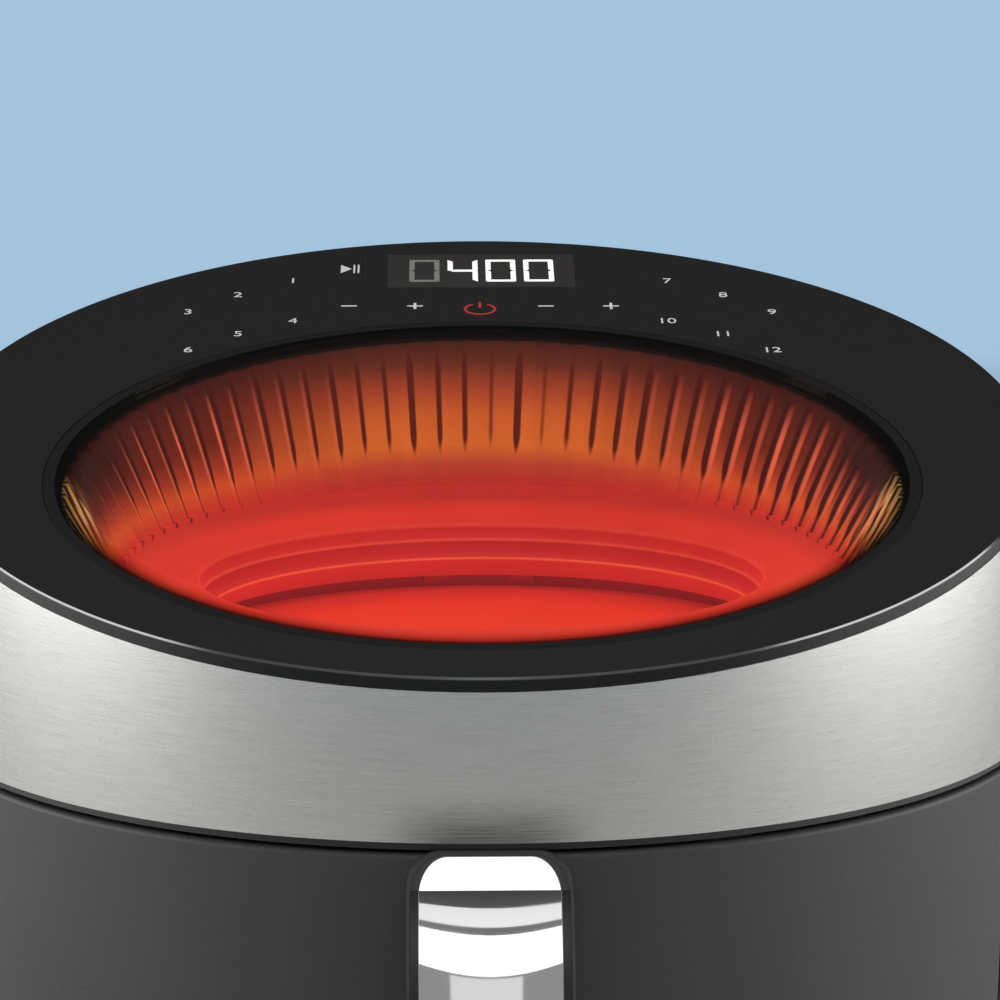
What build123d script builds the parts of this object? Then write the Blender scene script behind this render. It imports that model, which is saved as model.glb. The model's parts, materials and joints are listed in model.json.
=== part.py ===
from build123d import *
from math import cos, pi, radians, sin, sqrt, tan
import os

os.makedirs("parts", exist_ok=True)

# Body, measured round its vertical axis, millimetres
BODY_R = 163.0            # steel band, outer radius
SEAM_Z = 205.0            # lower edge of the steel band above the table
BAND_H = 79.3             # steel band height on the body axis
TOP_TILT = 13.5           # slope of the control panel down to the front, degrees
HANDLE_REACH = 38.0       # how far the handle stands out from the body
AXIS_Y = HANDLE_REACH / 2  # the body axis, so that the whole part is centred on the origin

# Walls and clearances
WALL = 2.6                # moulded walls
BAND_T = 0.8              # steel of the band
SHEET_T = 0.8             # pressed chamber sheet
BOARD_T = 1.6             # circuit boards
FIT = 0.3                 # gap between loosely seated pieces
SLIP = 0.1                # gap between a skin and what it wraps
SHUT_GAP = 1.2            # gap round the drawer front
BORE_GAP = 0.03           # radial running gap of the fan shaft

# Lower body
FOOT_H = 6.0
FOOT_R = 11.0
FOOT_STEM_R = 4.0
FOOT_IN = 32.6            # feet inside the base's edge
SKIRT_TOP_Z = 22.0
SKIRT_R = BODY_R - 4.4    # the lower body tapers in towards the base
FOOT_CIRCLE_R = SKIRT_R - FOOT_IN
SKIRT_ROUND = 9.0
SHELL_TOP_R = BODY_R - 0.2
SEAM_RING_H = 2.0
SEAM_RING_R = BODY_R - 1.0
SEAM_RING_INNER_R = BODY_R - 51.0
SHELL_TOP_Z = SEAM_Z - SEAM_RING_H
SHUT_TOP_Z = SHELL_TOP_Z - SHUT_GAP
NECK_IN = 2.0             # how far the neck under the seam ring steps in
DOOR_HALF = 66.0          # half angle of the drawer front, degrees
DOOR_GAP = 0.4            # gap at the sides of the drawer front, degrees
JAMB_INNER_R = SKIRT_R - 23.1
SCREW_R = 1.5
SCREW_HEAD_R = 2.8
SCREW_HEAD_H = 1.6

# Drawer and pan
DOOR_T = 3.0
DOOR_EDGE_ROUND = 1.4
INNER_DOOR_R = SKIRT_R - 8.6
INNER_DOOR_HALF = 61.0
PAN_HALF_W = SKIRT_R - 48.6
PAN_BACK_Y = SKIRT_R - 54.6
PAN_BACK_CORNER = 60.0
PAN_FRONT_R = INNER_DOOR_R - 10.0
PAN_FRONT_CORNER = 30.0
PAN_T = 1.2
PAN_RIM_W = 5.0
PAN_RIM_Z = SEAM_Z - 56.0
PAN_RIM_T = 1.5
PAN_DEPTH = 113.0
PAN_TAPER = 3.0
PAN_FOOT_ROUND = 13.0
TRAY_Z = 48.0
TRAY_IN = 10.0            # tray edge inside the rim outline of the pan
TRAY_T = 1.5
TRAY_RIM_H = 7.0

# Cooking chamber, fan and heater
LINER_OUT = 12.0          # chamber wall outside the pan outline
LINER_FRONT_Y = -52.0
LINER_FLOOR_Z = 25.0
CHAMBER_TOP_Z = SEAM_Z - 50.0
DOME_R = PAN_HALF_W - 4.0
DOME_TOP_Z = SEAM_Z - 15.0
GUARD_T = 2.0
COIL_Z = SEAM_Z - 40.0
COIL_WIRE_R = 3.2
COIL_INNER_R = DOME_R - 32.0
COIL_STEP = 7.0
COIL_HALF_TURNS = 3
COIL_BEND_R = 9.0
HOT_FAN_R = COIL_INNER_R - 4.0
HOT_FAN_Z = SEAM_Z - 33.0
HOT_FAN_H = 13.0
COOL_FAN_R = HOT_FAN_R - 12.0
COOL_FAN_Z = SEAM_Z - 13.0
COOL_FAN_H = 7.0
FAN_SHEET = 0.8
HUB_R = 9.0
SHAFT_R = 4.0
MOTOR_R = 36.0
MOTOR_Z = SEAM_Z - SEAM_RING_H
MOTOR_H = 14.5
MOTOR_SKIN = 1.2
BEARING_R = 8.0
BEARING_H = 3.0

# Window, its bezel and the glowing bowl below it
PANEL_T = 3.5
PANEL_R = BODY_R - 0.4
PANEL_ROUND = 0.6
WINDOW_HALF_W = BODY_R - 36.4
WINDOW_HALF_L = BODY_R - 42.2
WINDOW_Y = -28.7
RIM_DEPTH = 1.4
GLASS_TOP = 0.3
GLASS_T = 2.6
GLASS_IN = 3.6
SEAL_T = 0.3
LEDGE_IN = 4.8
STEP_IN = 5.2
STEP_DEPTH = 4.5
BEZEL_DEPTH = 5.7
REFLECTOR_T = 1.4
REFLECTOR_FLANGE = 6.0
FLUTES = 84
FLUTE_DEPTH = 1.6
RING_HALF_W = WINDOW_HALF_W - 19.6   # lower edge of the flutes, an oval
RING_HALF_L = WINDOW_HALF_L + 2.2
RING_TILT = 2.0
RING_Y = WINDOW_Y + 12.7
RING_Z = SEAM_Z + 45.2
RING_LIP = 2.0            # how far the lip under the flutes reaches inward
FLOOR_Z = SEAM_Z + 17.2
FLOOR_T = 1.5
SKIRT_BORE_R = RING_HALF_W - 13.2
STEP_R = RING_HALF_W - 22.6   # narrow part of the bowl between cone and lip

# Controls
DISPLAY_W = 62.4
DISPLAY_L = 26.0
DISPLAY_Y = BODY_R - 22.0  # along the slope from the body axis
DISPLAY_X = -6.0
TALL = 160.0              # long enough to pass through the whole body

BAND_TOP_Z = SEAM_Z + BAND_H
PANEL_TOP_Z = BAND_TOP_Z + PANEL_T / cos(radians(TOP_TILT))
BODY_AXIS = Axis((0, AXIS_Y, 0), (0, 0, 1))


def level(z):
    """Horizontal plane at a height, with its origin on the body axis."""
    return Plane(origin=(0, AXIS_Y, z))


def sloped(z):
    """Plane parallel to the control panel that crosses the body axis at a height."""
    tilt = radians(TOP_TILT)
    return Plane(origin=(0, AXIS_Y, z), x_dir=(1, 0, 0), z_dir=(0, -sin(tilt), cos(tilt)))


def panel_depth(depth, y=0.0):
    """Plane at a depth below the panel's face, with its origin y along the slope."""
    plane = sloped(PANEL_TOP_Z).offset(-depth)
    return plane.shift_origin(plane.from_local_coords((0, y, 0)))


def section(azimuth=90.0):
    """Upright plane through the body axis; azimuth 0 looks at the front, 90 at the right."""
    turn = radians(azimuth)
    return Plane(origin=(0, AXIS_Y, 0), x_dir=(sin(turn), -cos(turn), 0),
                 z_dir=(-cos(turn), -sin(turn), 0))


def window_plane(depth):
    """Plane of the window at a depth below the panel's face, centred on the window."""
    return panel_depth(depth, WINDOW_Y / cos(radians(TOP_TILT)))


def facing_back(radius, z):
    """Upright plane in front of the body axis that looks to the back, at a radius and height."""
    return Plane(origin=(0, AXIS_Y - radius, z), x_dir=(1, 0, 0), z_dir=(0, 1, 0))


def facing_front(radius, z):
    """Upright plane in front of the body axis that looks to the front, at a radius and height."""
    return Plane(origin=(0, AXIS_Y - radius, z), x_dir=(1, 0, 0), z_dir=(0, -1, 0))


def behind(radius, z):
    """Upright plane behind the body axis that looks to the back, at a radius and height."""
    return Plane(origin=(0, AXIS_Y + radius, z), x_dir=(-1, 0, 0), z_dir=(0, 1, 0))


def ring_plane(depth):
    """Plane of the flutes' lower edge, moved down by depth, centred on that oval."""
    tilt = radians(RING_TILT)
    return Plane(origin=(0, AXIS_Y + RING_Y, RING_Z), x_dir=(1, 0, 0),
                 z_dir=(0, -sin(tilt), cos(tilt))).offset(-depth)


def shell_r(z):
    """Outer radius of the tapered lower body at a height."""
    share = (z - SKIRT_TOP_Z) / (SHELL_TOP_Z - SKIRT_TOP_Z)
    return SKIRT_R + (SHELL_TOP_R - SKIRT_R) * share


def turned(points, azimuth=90.0, arc=360.0):
    """Solid turned round the body axis from a closed outline of radius and height."""
    with BuildPart() as body:
        with BuildSketch(section(azimuth)):
            with BuildLine():
                Polyline(*points, close=True)
            make_face()
        revolve(axis=BODY_AXIS, revolution_arc=arc)
    return body.part


def prism(radius, low, top):
    """Round solid on the body axis from a height up to a sloped plane."""
    with BuildPart() as body:
        with BuildSketch(level(low)):
            Circle(radius)
        extrude(amount=TALL)
        split(bisect_by=top, keep=Keep.BOTTOM)
    return body.part


def window_oval(grow):
    """Ellipse of the window opening, moved outward by grow."""
    return Ellipse(WINDOW_HALF_W + grow, WINDOW_HALF_L + grow)


def ring_oval(grow):
    """Ellipse of the flutes' lower edge, moved outward by grow."""
    return Ellipse(RING_HALF_W + grow, RING_HALF_L + grow)


def pan_plan(grow):
    """Plan outline of the drawer pan round the body axis, moved outward by grow."""
    back = PAN_BACK_Y + grow
    length = back + PAN_FRONT_R + grow
    with BuildSketch() as plan:
        with Locations((0, back)):
            Rectangle(2 * (PAN_HALF_W + grow), length, align=(Align.CENTER, Align.MAX))
        fillet(plan.vertices().group_by(Axis.Y)[-1], PAN_BACK_CORNER + grow)
        Circle(PAN_FRONT_R + grow, mode=Mode.INTERSECT)
        fillet(plan.vertices().group_by(Axis.Y)[0], PAN_FRONT_CORNER + grow)
    return plan.sketch


def screws(planes, length):
    """Round-head screws, one on each plane, the head below the plane and the shank above."""
    with BuildPart() as group:
        for plane in planes:
            with BuildSketch(plane):
                Circle(SCREW_HEAD_R)
            extrude(amount=-SCREW_HEAD_H)
            with BuildSketch(plane):
                Circle(SCREW_R)
            extrude(amount=length)
    return group.part


def ring_planes(z, radius, angles):
    """Level planes at a height, one at each angle on a circle round the body axis."""
    return [Plane(origin=(radius * cos(radians(angle)), AXIS_Y + radius * sin(radians(angle)), z))
            for angle in angles]


def finish(name, part):
    """Label one finished piece and write its file."""
    part.label = name
    export_step(part, f"parts/{name}.step")


# Feet
with BuildPart() as feet:
    with BuildSketch(level(0)):
        with PolarLocations(FOOT_CIRCLE_R, 4, start_angle=45):
            Circle(FOOT_R)
    extrude(amount=FOOT_H)
    chamfer(feet.edges().group_by(Axis.Z)[0], 1.0)
    with BuildSketch(level(FOOT_H)):
        with PolarLocations(FOOT_CIRCLE_R, 4, start_angle=45):
            Circle(FOOT_STEM_R)
    extrude(amount=WALL)
    with BuildSketch(level(FOOT_H + WALL)):
        with PolarLocations(FOOT_CIRCLE_R, 4, start_angle=45):
            Circle(FOOT_STEM_R + 1.5)
    extrude(amount=1.5)
finish("feet", feet.part)

# Base pan with intake slots, ribs under the chamber and screw bosses
BASE_SCREW_R = SKIRT_R - 12.6
BASE_SCREW_ANGLES = (-20.0, 40.0, 90.0, 140.0, 200.0)
BASE_BOSS_R = 5.0
BASE_RIB_IN = 8.0
BASE_RIB_FRONT = 40.0
BASE_RIB_SIDE_IN = 12.0
BASE_BOSS_WEB = 2.0
BASE_BOSS_H = 26.0        # boss of the lower shell above the seam with the base pan
BASE_THREAD = 15.0
with BuildPart() as base_pan:
    with BuildSketch(section()):
        with BuildLine():
            floor_line = Line((0, FOOT_H), (SKIRT_R - SKIRT_ROUND, FOOT_H))
            corner = TangentArc(floor_line @ 1, (SKIRT_R - 0.6, FOOT_H + SKIRT_ROUND),
                                tangent=floor_line % 1)
            Polyline(corner @ 1, (SKIRT_R, SKIRT_TOP_Z), (SKIRT_R - WALL, SKIRT_TOP_Z),
                     (SKIRT_R - WALL - 0.5, FOOT_H + SKIRT_ROUND),
                     (SKIRT_R - SKIRT_ROUND - 1.0, FOOT_H + WALL), (0, FOOT_H + WALL), (0, FOOT_H))
        make_face()
    revolve(axis=BODY_AXIS)
    with BuildSketch(level(FOOT_H)):
        for radius, count in ((52.0, 16), (76.0, 22)):
            with PolarLocations(radius, count):
                SlotOverall(16.0, 3.4)
    extrude(amount=WALL, mode=Mode.SUBTRACT)
    with BuildSketch(level(FOOT_H)):
        with PolarLocations(FOOT_CIRCLE_R, 4, start_angle=45):
            Circle(FOOT_STEM_R + SLIP)
    extrude(amount=WALL, mode=Mode.SUBTRACT)
    with BuildSketch(level(FOOT_H + WALL)):
        with Locations((0, PAN_BACK_Y - BASE_RIB_IN), (0, -BASE_RIB_FRONT)):
            Rectangle(2 * (PAN_HALF_W - PAN_BACK_CORNER / 2) - BASE_RIB_IN, WALL)
        for side in (-1, 1):
            with Locations((side * (PAN_HALF_W - BASE_RIB_SIDE_IN), 20)):
                Rectangle(WALL, PAN_HALF_W)
    extrude(amount=LINER_FLOOR_Z - FOOT_H - WALL)
    with BuildSketch(level(FOOT_H + WALL)):
        for angle in BASE_SCREW_ANGLES:
            with PolarLocations(BASE_SCREW_R, 1, start_angle=angle):
                Circle(BASE_BOSS_R)
    extrude(amount=SKIRT_TOP_Z - FOOT_H - WALL)
    with BuildSketch(level(FOOT_H)):
        for angle in BASE_SCREW_ANGLES:
            with PolarLocations(BASE_SCREW_R, 1, start_angle=angle):
                Circle(SCREW_R + SLIP)
    extrude(amount=SKIRT_TOP_Z - FOOT_H, mode=Mode.SUBTRACT)
finish("base_pan", base_pan.part)

# Lower shell: tapered wall round the back and sides, neck under the seam, jambs and bosses
VENT_HALF = 24.0
VENT_LOW_Z = 128.0
VENT_HIGH_Z = 184.0
GLAND_Z = 44.0
GLAND_R = 9.0
SHELL_START = DOOR_HALF + DOOR_GAP
neck_r = shell_r(SHUT_TOP_Z) - NECK_IN
with BuildPart() as lower_shell:
    with BuildSketch(section(SHELL_START)):
        with BuildLine():
            Polyline((SKIRT_R, SKIRT_TOP_Z), (shell_r(SHUT_TOP_Z), SHUT_TOP_Z),
                     (neck_r, SHUT_TOP_Z), (neck_r, SHELL_TOP_Z),
                     (neck_r - WALL, SHELL_TOP_Z), (neck_r - WALL, SHUT_TOP_Z - 3 * WALL),
                     (SKIRT_R - WALL, SKIRT_TOP_Z), close=True)
        make_face()
    revolve(axis=BODY_AXIS, revolution_arc=360 - 2 * SHELL_START)
    with BuildSketch(level(SKIRT_TOP_Z + SHUT_GAP)):
        for start, side in ((SHELL_START - 90, Align.MIN), (-SHELL_START - 90, Align.MAX)):
            with PolarLocations(JAMB_INNER_R, 1, start_angle=start):
                Rectangle(SKIRT_R - FIT - JAMB_INNER_R, WALL, align=(Align.MIN, side))
    extrude(amount=SHUT_TOP_Z - SKIRT_TOP_Z - 2 * SHUT_GAP)
    with BuildSketch(level(SKIRT_TOP_Z)):
        for angle in BASE_SCREW_ANGLES:
            with PolarLocations(BASE_SCREW_R, 1, start_angle=angle):
                Circle(BASE_BOSS_R)
                Rectangle(SKIRT_R - WALL / 2 - BASE_SCREW_R, BASE_BOSS_WEB,
                          align=(Align.MIN, Align.CENTER))
    extrude(amount=BASE_BOSS_H)
    with BuildSketch(level(SKIRT_TOP_Z)):
        for angle in BASE_SCREW_ANGLES:
            with PolarLocations(BASE_SCREW_R, 1, start_angle=angle):
                Circle(SCREW_R + SLIP)
    extrude(amount=BASE_THREAD + 1.0, mode=Mode.SUBTRACT)
    add(turned([(BODY_R - 12, VENT_LOW_Z), (BODY_R + 5, VENT_LOW_Z),
                (BODY_R + 5, VENT_HIGH_Z), (BODY_R - 12, VENT_HIGH_Z)],
               azimuth=180 - VENT_HALF, arc=2 * VENT_HALF), mode=Mode.SUBTRACT)
    with BuildSketch(behind(SKIRT_R - 2 * GLAND_R, GLAND_Z)):
        Circle(GLAND_R + SLIP)
    extrude(amount=3 * GLAND_R, mode=Mode.SUBTRACT)
finish("lower_shell", lower_shell.part)

finish("base_screws", screws(ring_planes(FOOT_H, BASE_SCREW_R, BASE_SCREW_ANGLES),
                             SKIRT_TOP_Z - FOOT_H + BASE_THREAD))

# Rear vent grille with level louvre slots, set into the lower shell
LOUVRES = 7
with BuildPart() as rear_vent_grille:
    add(turned([(shell_r(VENT_LOW_Z) - WALL, VENT_LOW_Z + FIT), (shell_r(VENT_LOW_Z), VENT_LOW_Z + FIT),
                (shell_r(VENT_HIGH_Z), VENT_HIGH_Z - FIT), (shell_r(VENT_HIGH_Z) - WALL, VENT_HIGH_Z - FIT)],
               azimuth=180 - VENT_HALF + 0.1, arc=2 * VENT_HALF - 0.2))
    pitch = (VENT_HIGH_Z - VENT_LOW_Z) / (LOUVRES + 1)
    for row in range(LOUVRES):
        low = VENT_LOW_Z + pitch * (row + 0.78)
        for first in (-VENT_HALF + 3.0, 1.2):
            add(turned([(BODY_R - 12, low), (BODY_R + 3, low - 3.0),
                        (BODY_R + 3, low + 0.6), (BODY_R - 12, low + 3.6)],
                       azimuth=180 + first, arc=VENT_HALF - 4.2), mode=Mode.SUBTRACT)
finish("rear_vent_grille", rear_vent_grille.part)

# Cord gland in the rear wall
GLAND_L = 9.8
GLAND_LIP = 2.4
CORD_R = 4.0
gland_face_r = shell_r(GLAND_Z + GLAND_R) + SLIP
with BuildPart() as cord_gland:
    with BuildSketch(behind(gland_face_r - GLAND_L, GLAND_Z)):
        Circle(GLAND_R)
        Circle(CORD_R, mode=Mode.SUBTRACT)
    extrude(amount=GLAND_L)
    with BuildSketch(behind(gland_face_r, GLAND_Z)):
        Circle(GLAND_R + GLAND_LIP)
        Circle(CORD_R, mode=Mode.SUBTRACT)
    extrude(amount=GLAND_LIP)
    chamfer(cord_gland.edges().group_by(Axis.Y)[-1], 0.8)
finish("cord_gland", cord_gland.part)

# Seam ring: the dark strip under the steel band, and the deck that carries motor and boards
MOTOR_SCREW_R = SEAM_RING_INNER_R + 6.0
POWER_Y = BODY_R - 36.0    # power board, behind the body axis
POST_SPOTS = [(x, POWER_Y + y) for x in (-40.0, 40.0) for y in (-15.0, 15.0)]
POST_H = 5.0
with BuildPart() as seam_ring:
    with BuildSketch(level(SHELL_TOP_Z)):
        Circle(SEAM_RING_R)
        Circle(SEAM_RING_INNER_R, mode=Mode.SUBTRACT)
        with PolarLocations(MOTOR_SCREW_R, 4, start_angle=45):
            Circle(SCREW_R + SLIP, mode=Mode.SUBTRACT)
    extrude(amount=SEAM_RING_H)
    with BuildSketch(level(SEAM_Z)):
        Circle(SEAM_RING_INNER_R + WALL)
        Circle(SEAM_RING_INNER_R, mode=Mode.SUBTRACT)
    extrude(amount=4.0)
    with BuildSketch(level(SEAM_Z)):
        with Locations(*POST_SPOTS):
            Circle(3.0)
    extrude(amount=POST_H)
finish("seam_ring", seam_ring.part)

# Steel band with a rolled top edge
with BuildPart() as steel_band:
    add(prism(BODY_R, SEAM_Z, sloped(BAND_TOP_Z)))
    add(prism(BODY_R - BAND_T, SEAM_Z, sloped(BAND_TOP_Z + TALL)), mode=Mode.SUBTRACT)
finish("steel_band", steel_band.part)

# Upper shell behind the band, with a ledge under the panel
LEDGE_T = 3.0
LEDGE_R = BODY_R - 9.0
PANEL_SCREW_R = BODY_R - 7.1
PANEL_SCREWS = 6
PANEL_SCREW_L = 2.2
upper_r = BODY_R - BAND_T - SLIP


def on_slope(radius, angle, depth):
    """Plane on the slope at a depth below the panel's face, above a point of the plan."""
    x = radius * cos(radians(angle))
    lean = (PANEL_T + LEDGE_T / 2) * sin(radians(TOP_TILT))
    y = (radius * sin(radians(angle)) - lean) / cos(radians(TOP_TILT))
    plane = sloped(PANEL_TOP_Z).offset(-depth)
    return plane.shift_origin(plane.from_local_coords((x, y, 0)))


panel_screw_angles = [30.0 + 360.0 / PANEL_SCREWS * turn for turn in range(PANEL_SCREWS)]
with BuildPart() as upper_shell:
    add(prism(upper_r, SEAM_Z, sloped(BAND_TOP_Z)))
    add(prism(upper_r - WALL, SEAM_Z, sloped(BAND_TOP_Z - LEDGE_T)), mode=Mode.SUBTRACT)
    add(prism(LEDGE_R, SEAM_Z, sloped(BAND_TOP_Z + TALL)), mode=Mode.SUBTRACT)
    for angle in panel_screw_angles:
        with BuildSketch(on_slope(PANEL_SCREW_R, angle, PANEL_T)):
            Circle(SCREW_R + SLIP)
        extrude(amount=-LEDGE_T, mode=Mode.SUBTRACT)
finish("upper_shell", upper_shell.part)

# Control panel with the window hole, the display cut-out and screw bosses underneath
REFLECTOR_SCREW_OUT = 2.8
BOSS_R = 2.6
REFLECTOR_SCREWS = 6
boss_spots = [((WINDOW_HALF_W + REFLECTOR_SCREW_OUT) * cos(radians(30 + 60 * turn)),
               (WINDOW_HALF_L + REFLECTOR_SCREW_OUT) * sin(radians(30 + 60 * turn)))
              for turn in range(REFLECTOR_SCREWS)]
with BuildPart() as control_panel:
    add(prism(PANEL_R, SEAM_Z, sloped(PANEL_TOP_Z)))
    split(bisect_by=sloped(BAND_TOP_Z), keep=Keep.TOP)
    top_face = control_panel.faces().sort_by(Axis.Z)[-1]
    fillet(top_face.outer_wire().edges(), PANEL_ROUND)
    with BuildSketch(window_plane(PANEL_T)):
        with Locations(*boss_spots):
            Circle(BOSS_R)
    extrude(amount=-(BEZEL_DEPTH - PANEL_T))
    with BuildSketch(window_plane(0)):
        window_oval(SLIP)
    extrude(amount=-RIM_DEPTH, mode=Mode.SUBTRACT)
    with BuildSketch(window_plane(0)):
        window_oval(-1.1)
    extrude(amount=-2 * PANEL_T, mode=Mode.SUBTRACT)
    with BuildSketch(window_plane(BEZEL_DEPTH)):
        with Locations(*boss_spots):
            Circle(SCREW_R + SLIP)
    extrude(amount=3.0, mode=Mode.SUBTRACT)
    with BuildSketch(panel_depth(0, DISPLAY_Y)):
        with Locations((DISPLAY_X, 0)):
            RectangleRounded(DISPLAY_W, DISPLAY_L, 2.0)
    extrude(amount=-2 * PANEL_T, mode=Mode.SUBTRACT)
    for angle in panel_screw_angles:
        with BuildSketch(on_slope(PANEL_SCREW_R, angle, PANEL_T)):
            Circle(SCREW_R + SLIP)
        extrude(amount=PANEL_SCREW_L, mode=Mode.SUBTRACT)
finish("control_panel", control_panel.part)

# Screws that hold the panel from below, and the ones that hold the reflector to the panel
panel_screws = screws([on_slope(PANEL_SCREW_R, angle, PANEL_T + LEDGE_T * cos(radians(TOP_TILT)))
                       for angle in panel_screw_angles], LEDGE_T + PANEL_SCREW_L - 0.4)
finish("panel_screws", panel_screws)
FLANGE_T = 1.2
flange_low = window_plane(BEZEL_DEPTH + FLANGE_T)
reflector_screws = screws([flange_low.shift_origin(flange_low.from_local_coords((x, y, 0)))
                           for x, y in boss_spots], FLANGE_T + 2.6)
finish("reflector_screws", reflector_screws)

# Window bezel: flat rim, pocket for the glass and a stepped collar
with BuildPart() as window_bezel:
    with BuildSketch(window_plane(0)):
        window_oval(0)
    extrude(amount=-RIM_DEPTH)
    chamfer(window_bezel.faces().sort_by(Axis.Z)[-1].outer_wire().edges(), 0.3)
    with BuildSketch(window_plane(RIM_DEPTH)):
        window_oval(-1.2)
    extrude(amount=-(BEZEL_DEPTH - RIM_DEPTH))
    with BuildSketch(window_plane(0)):
        window_oval(SLIP - GLASS_IN)
    extrude(amount=-(GLASS_TOP + GLASS_T + SEAL_T), mode=Mode.SUBTRACT)
    with BuildSketch(window_plane(0)):
        window_oval(-LEDGE_IN)
    extrude(amount=-STEP_DEPTH, mode=Mode.SUBTRACT)
    with BuildSketch(window_plane(0)):
        window_oval(-STEP_IN)
    extrude(amount=-BEZEL_DEPTH, mode=Mode.SUBTRACT)
finish("window_bezel", window_bezel.part)

# Window glass on a thin seal
with BuildPart() as window_glass:
    with BuildSketch(window_plane(GLASS_TOP)):
        window_oval(-GLASS_IN)
    extrude(amount=-GLASS_T)
finish("window_glass", window_glass.part)

with BuildPart() as window_seal:
    with BuildSketch(window_plane(GLASS_TOP + GLASS_T)):
        window_oval(-GLASS_IN)
        Ellipse(WINDOW_HALF_W - LEDGE_IN + SLIP, WINDOW_HALF_L - LEDGE_IN + SLIP, mode=Mode.SUBTRACT)
    extrude(amount=-SEAL_T)
finish("window_seal", window_seal.part)


def fluted(half_w, half_l, depth):
    """Closed zigzag of flutes round an ellipse, depth deep towards the middle."""
    points = []
    for step in range(2 * FLUTES):
        turn = pi * (step + 0.5) / FLUTES
        inward = depth * (step % 2)
        points.append(((half_w - inward) * cos(turn), (half_l - inward) * sin(turn)))
    with BuildSketch() as outline:
        with BuildLine():
            Polyline(*points, close=True)
        make_face()
    return outline.sketch


# Fluted reflector: from the oval window down to a slightly tilted oval ring
with BuildPart() as flute_space:
    with BuildSketch(window_plane(BEZEL_DEPTH)):
        add(fluted(WINDOW_HALF_W - STEP_IN, WINDOW_HALF_L - STEP_IN, FLUTE_DEPTH))
    with BuildSketch(ring_plane(0)):
        add(fluted(RING_HALF_W, RING_HALF_L, FLUTE_DEPTH))
    loft(ruled=True)
with BuildPart() as fluted_reflector:
    with BuildSketch(window_plane(BEZEL_DEPTH)):
        window_oval(REFLECTOR_T - STEP_IN)
    with BuildSketch(ring_plane(REFLECTOR_T)):
        ring_oval(REFLECTOR_T)
    loft(ruled=True)
    with BuildSketch(window_plane(BEZEL_DEPTH)):
        window_oval(REFLECTOR_FLANGE)
        with Locations(*boss_spots):
            Circle(SCREW_R + SLIP, mode=Mode.SUBTRACT)
    extrude(amount=-FLANGE_T)
    add(flute_space.part, mode=Mode.SUBTRACT)
    with BuildSketch(ring_plane(REFLECTOR_T)):
        ring_oval(-RING_LIP)
    extrude(amount=2 * REFLECTOR_T, mode=Mode.SUBTRACT)
finish("fluted_reflector", fluted_reflector.part)

# Stepped bowl under the reflector: oval cone, two round steps, an undercut lip and a skirt
SKIRT_T = 1.4
CONE_T = 1.6
CONE_LOW_Z = SEAM_Z + 39.4
BOARD_LEDGE_Z = FLOOR_Z + 6.0
bowl_points = [
    (STEP_R, CONE_LOW_Z), (STEP_R - 0.8, CONE_LOW_Z - 0.8), (STEP_R - 0.8, SEAM_Z + 34.8),
    (STEP_R - 1.6, SEAM_Z + 34.0), (STEP_R - 1.6, SEAM_Z + 30.0), (STEP_R - 2.4, SEAM_Z + 29.2),
    (STEP_R - 2.4, SEAM_Z + 28.0), (STEP_R + 3.0, FLOOR_Z + 4.5), (SKIRT_BORE_R, FLOOR_Z + 4.5),
    (SKIRT_BORE_R, FLOOR_Z),
    (SKIRT_BORE_R + SKIRT_T, FLOOR_Z), (SKIRT_BORE_R + SKIRT_T, FLOOR_Z + 4.8),
    (SKIRT_BORE_R + 5.0, FLOOR_Z + 4.8), (SKIRT_BORE_R + 5.0, FLOOR_Z + 6.0),
    (STEP_R + 4.2, FLOOR_Z + 6.0), (STEP_R - 0.2, SEAM_Z + 28.8), (STEP_R - 0.2, SEAM_Z + 33.4),
    (STEP_R + 0.6, SEAM_Z + 34.2), (STEP_R + 0.6, CONE_LOW_Z - CONE_T), (STEP_R + 2.0, CONE_LOW_Z - CONE_T),
    (STEP_R + 2.0, CONE_LOW_Z)]
TAB_W = 8.0
TAB_H = 2.0
TAB_SPREAD = 18.0
with BuildPart() as cone_space:
    with BuildSketch(ring_plane(REFLECTOR_T)):
        ring_oval(-RING_LIP)
    with BuildSketch(level(CONE_LOW_Z)):
        Circle(STEP_R)
    loft(ruled=True)
with BuildPart() as stepped_bowl:
    with BuildSketch(ring_plane(REFLECTOR_T)):
        ring_oval(CONE_T - RING_LIP)
    with BuildSketch(level(CONE_LOW_Z - CONE_T)):
        Circle(STEP_R + CONE_T)
    loft(ruled=True)
    with BuildSketch(ring_plane(REFLECTOR_T)):
        ring_oval(REFLECTOR_T)
    extrude(amount=-CONE_T)
    add(cone_space.part, mode=Mode.SUBTRACT)
    with BuildSketch(level(CONE_LOW_Z)):
        Circle(STEP_R)
    extrude(amount=-2 * CONE_T, mode=Mode.SUBTRACT)
    add(turned(bowl_points))
    for turn in (90.0, 210.0, 330.0):
        for lean in (-TAB_SPREAD / 2, TAB_SPREAD / 2):
            with BuildSketch(level(FLOOR_Z + 4.5)):
                with PolarLocations(STEP_R + 3.2, 1, start_angle=turn + lean):
                    Rectangle(2.4, TAB_W, align=(Align.MIN, Align.CENTER))
            extrude(amount=-TAB_H)
finish("stepped_bowl", stepped_bowl.part)

# Floor of the bowl, a shallow dished disc on three posts over the motor bracket
FLOOR_R = SKIRT_BORE_R + SKIRT_T + 1.6
DISH = 0.6
with BuildPart() as bowl_floor_disc:
    add(turned([(0, FLOOR_Z - DISH), (STEP_R - 14.4, FLOOR_Z - DISH), (STEP_R - 0.4, FLOOR_Z),
                (FLOOR_R, FLOOR_Z), (FLOOR_R, FLOOR_Z - FLOOR_T), (STEP_R - 0.4, FLOOR_Z - FLOOR_T),
                (STEP_R - 14.4, FLOOR_Z - DISH - FLOOR_T), (0, FLOOR_Z - DISH - FLOOR_T)]))
finish("bowl_floor_disc", bowl_floor_disc.part)

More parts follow.
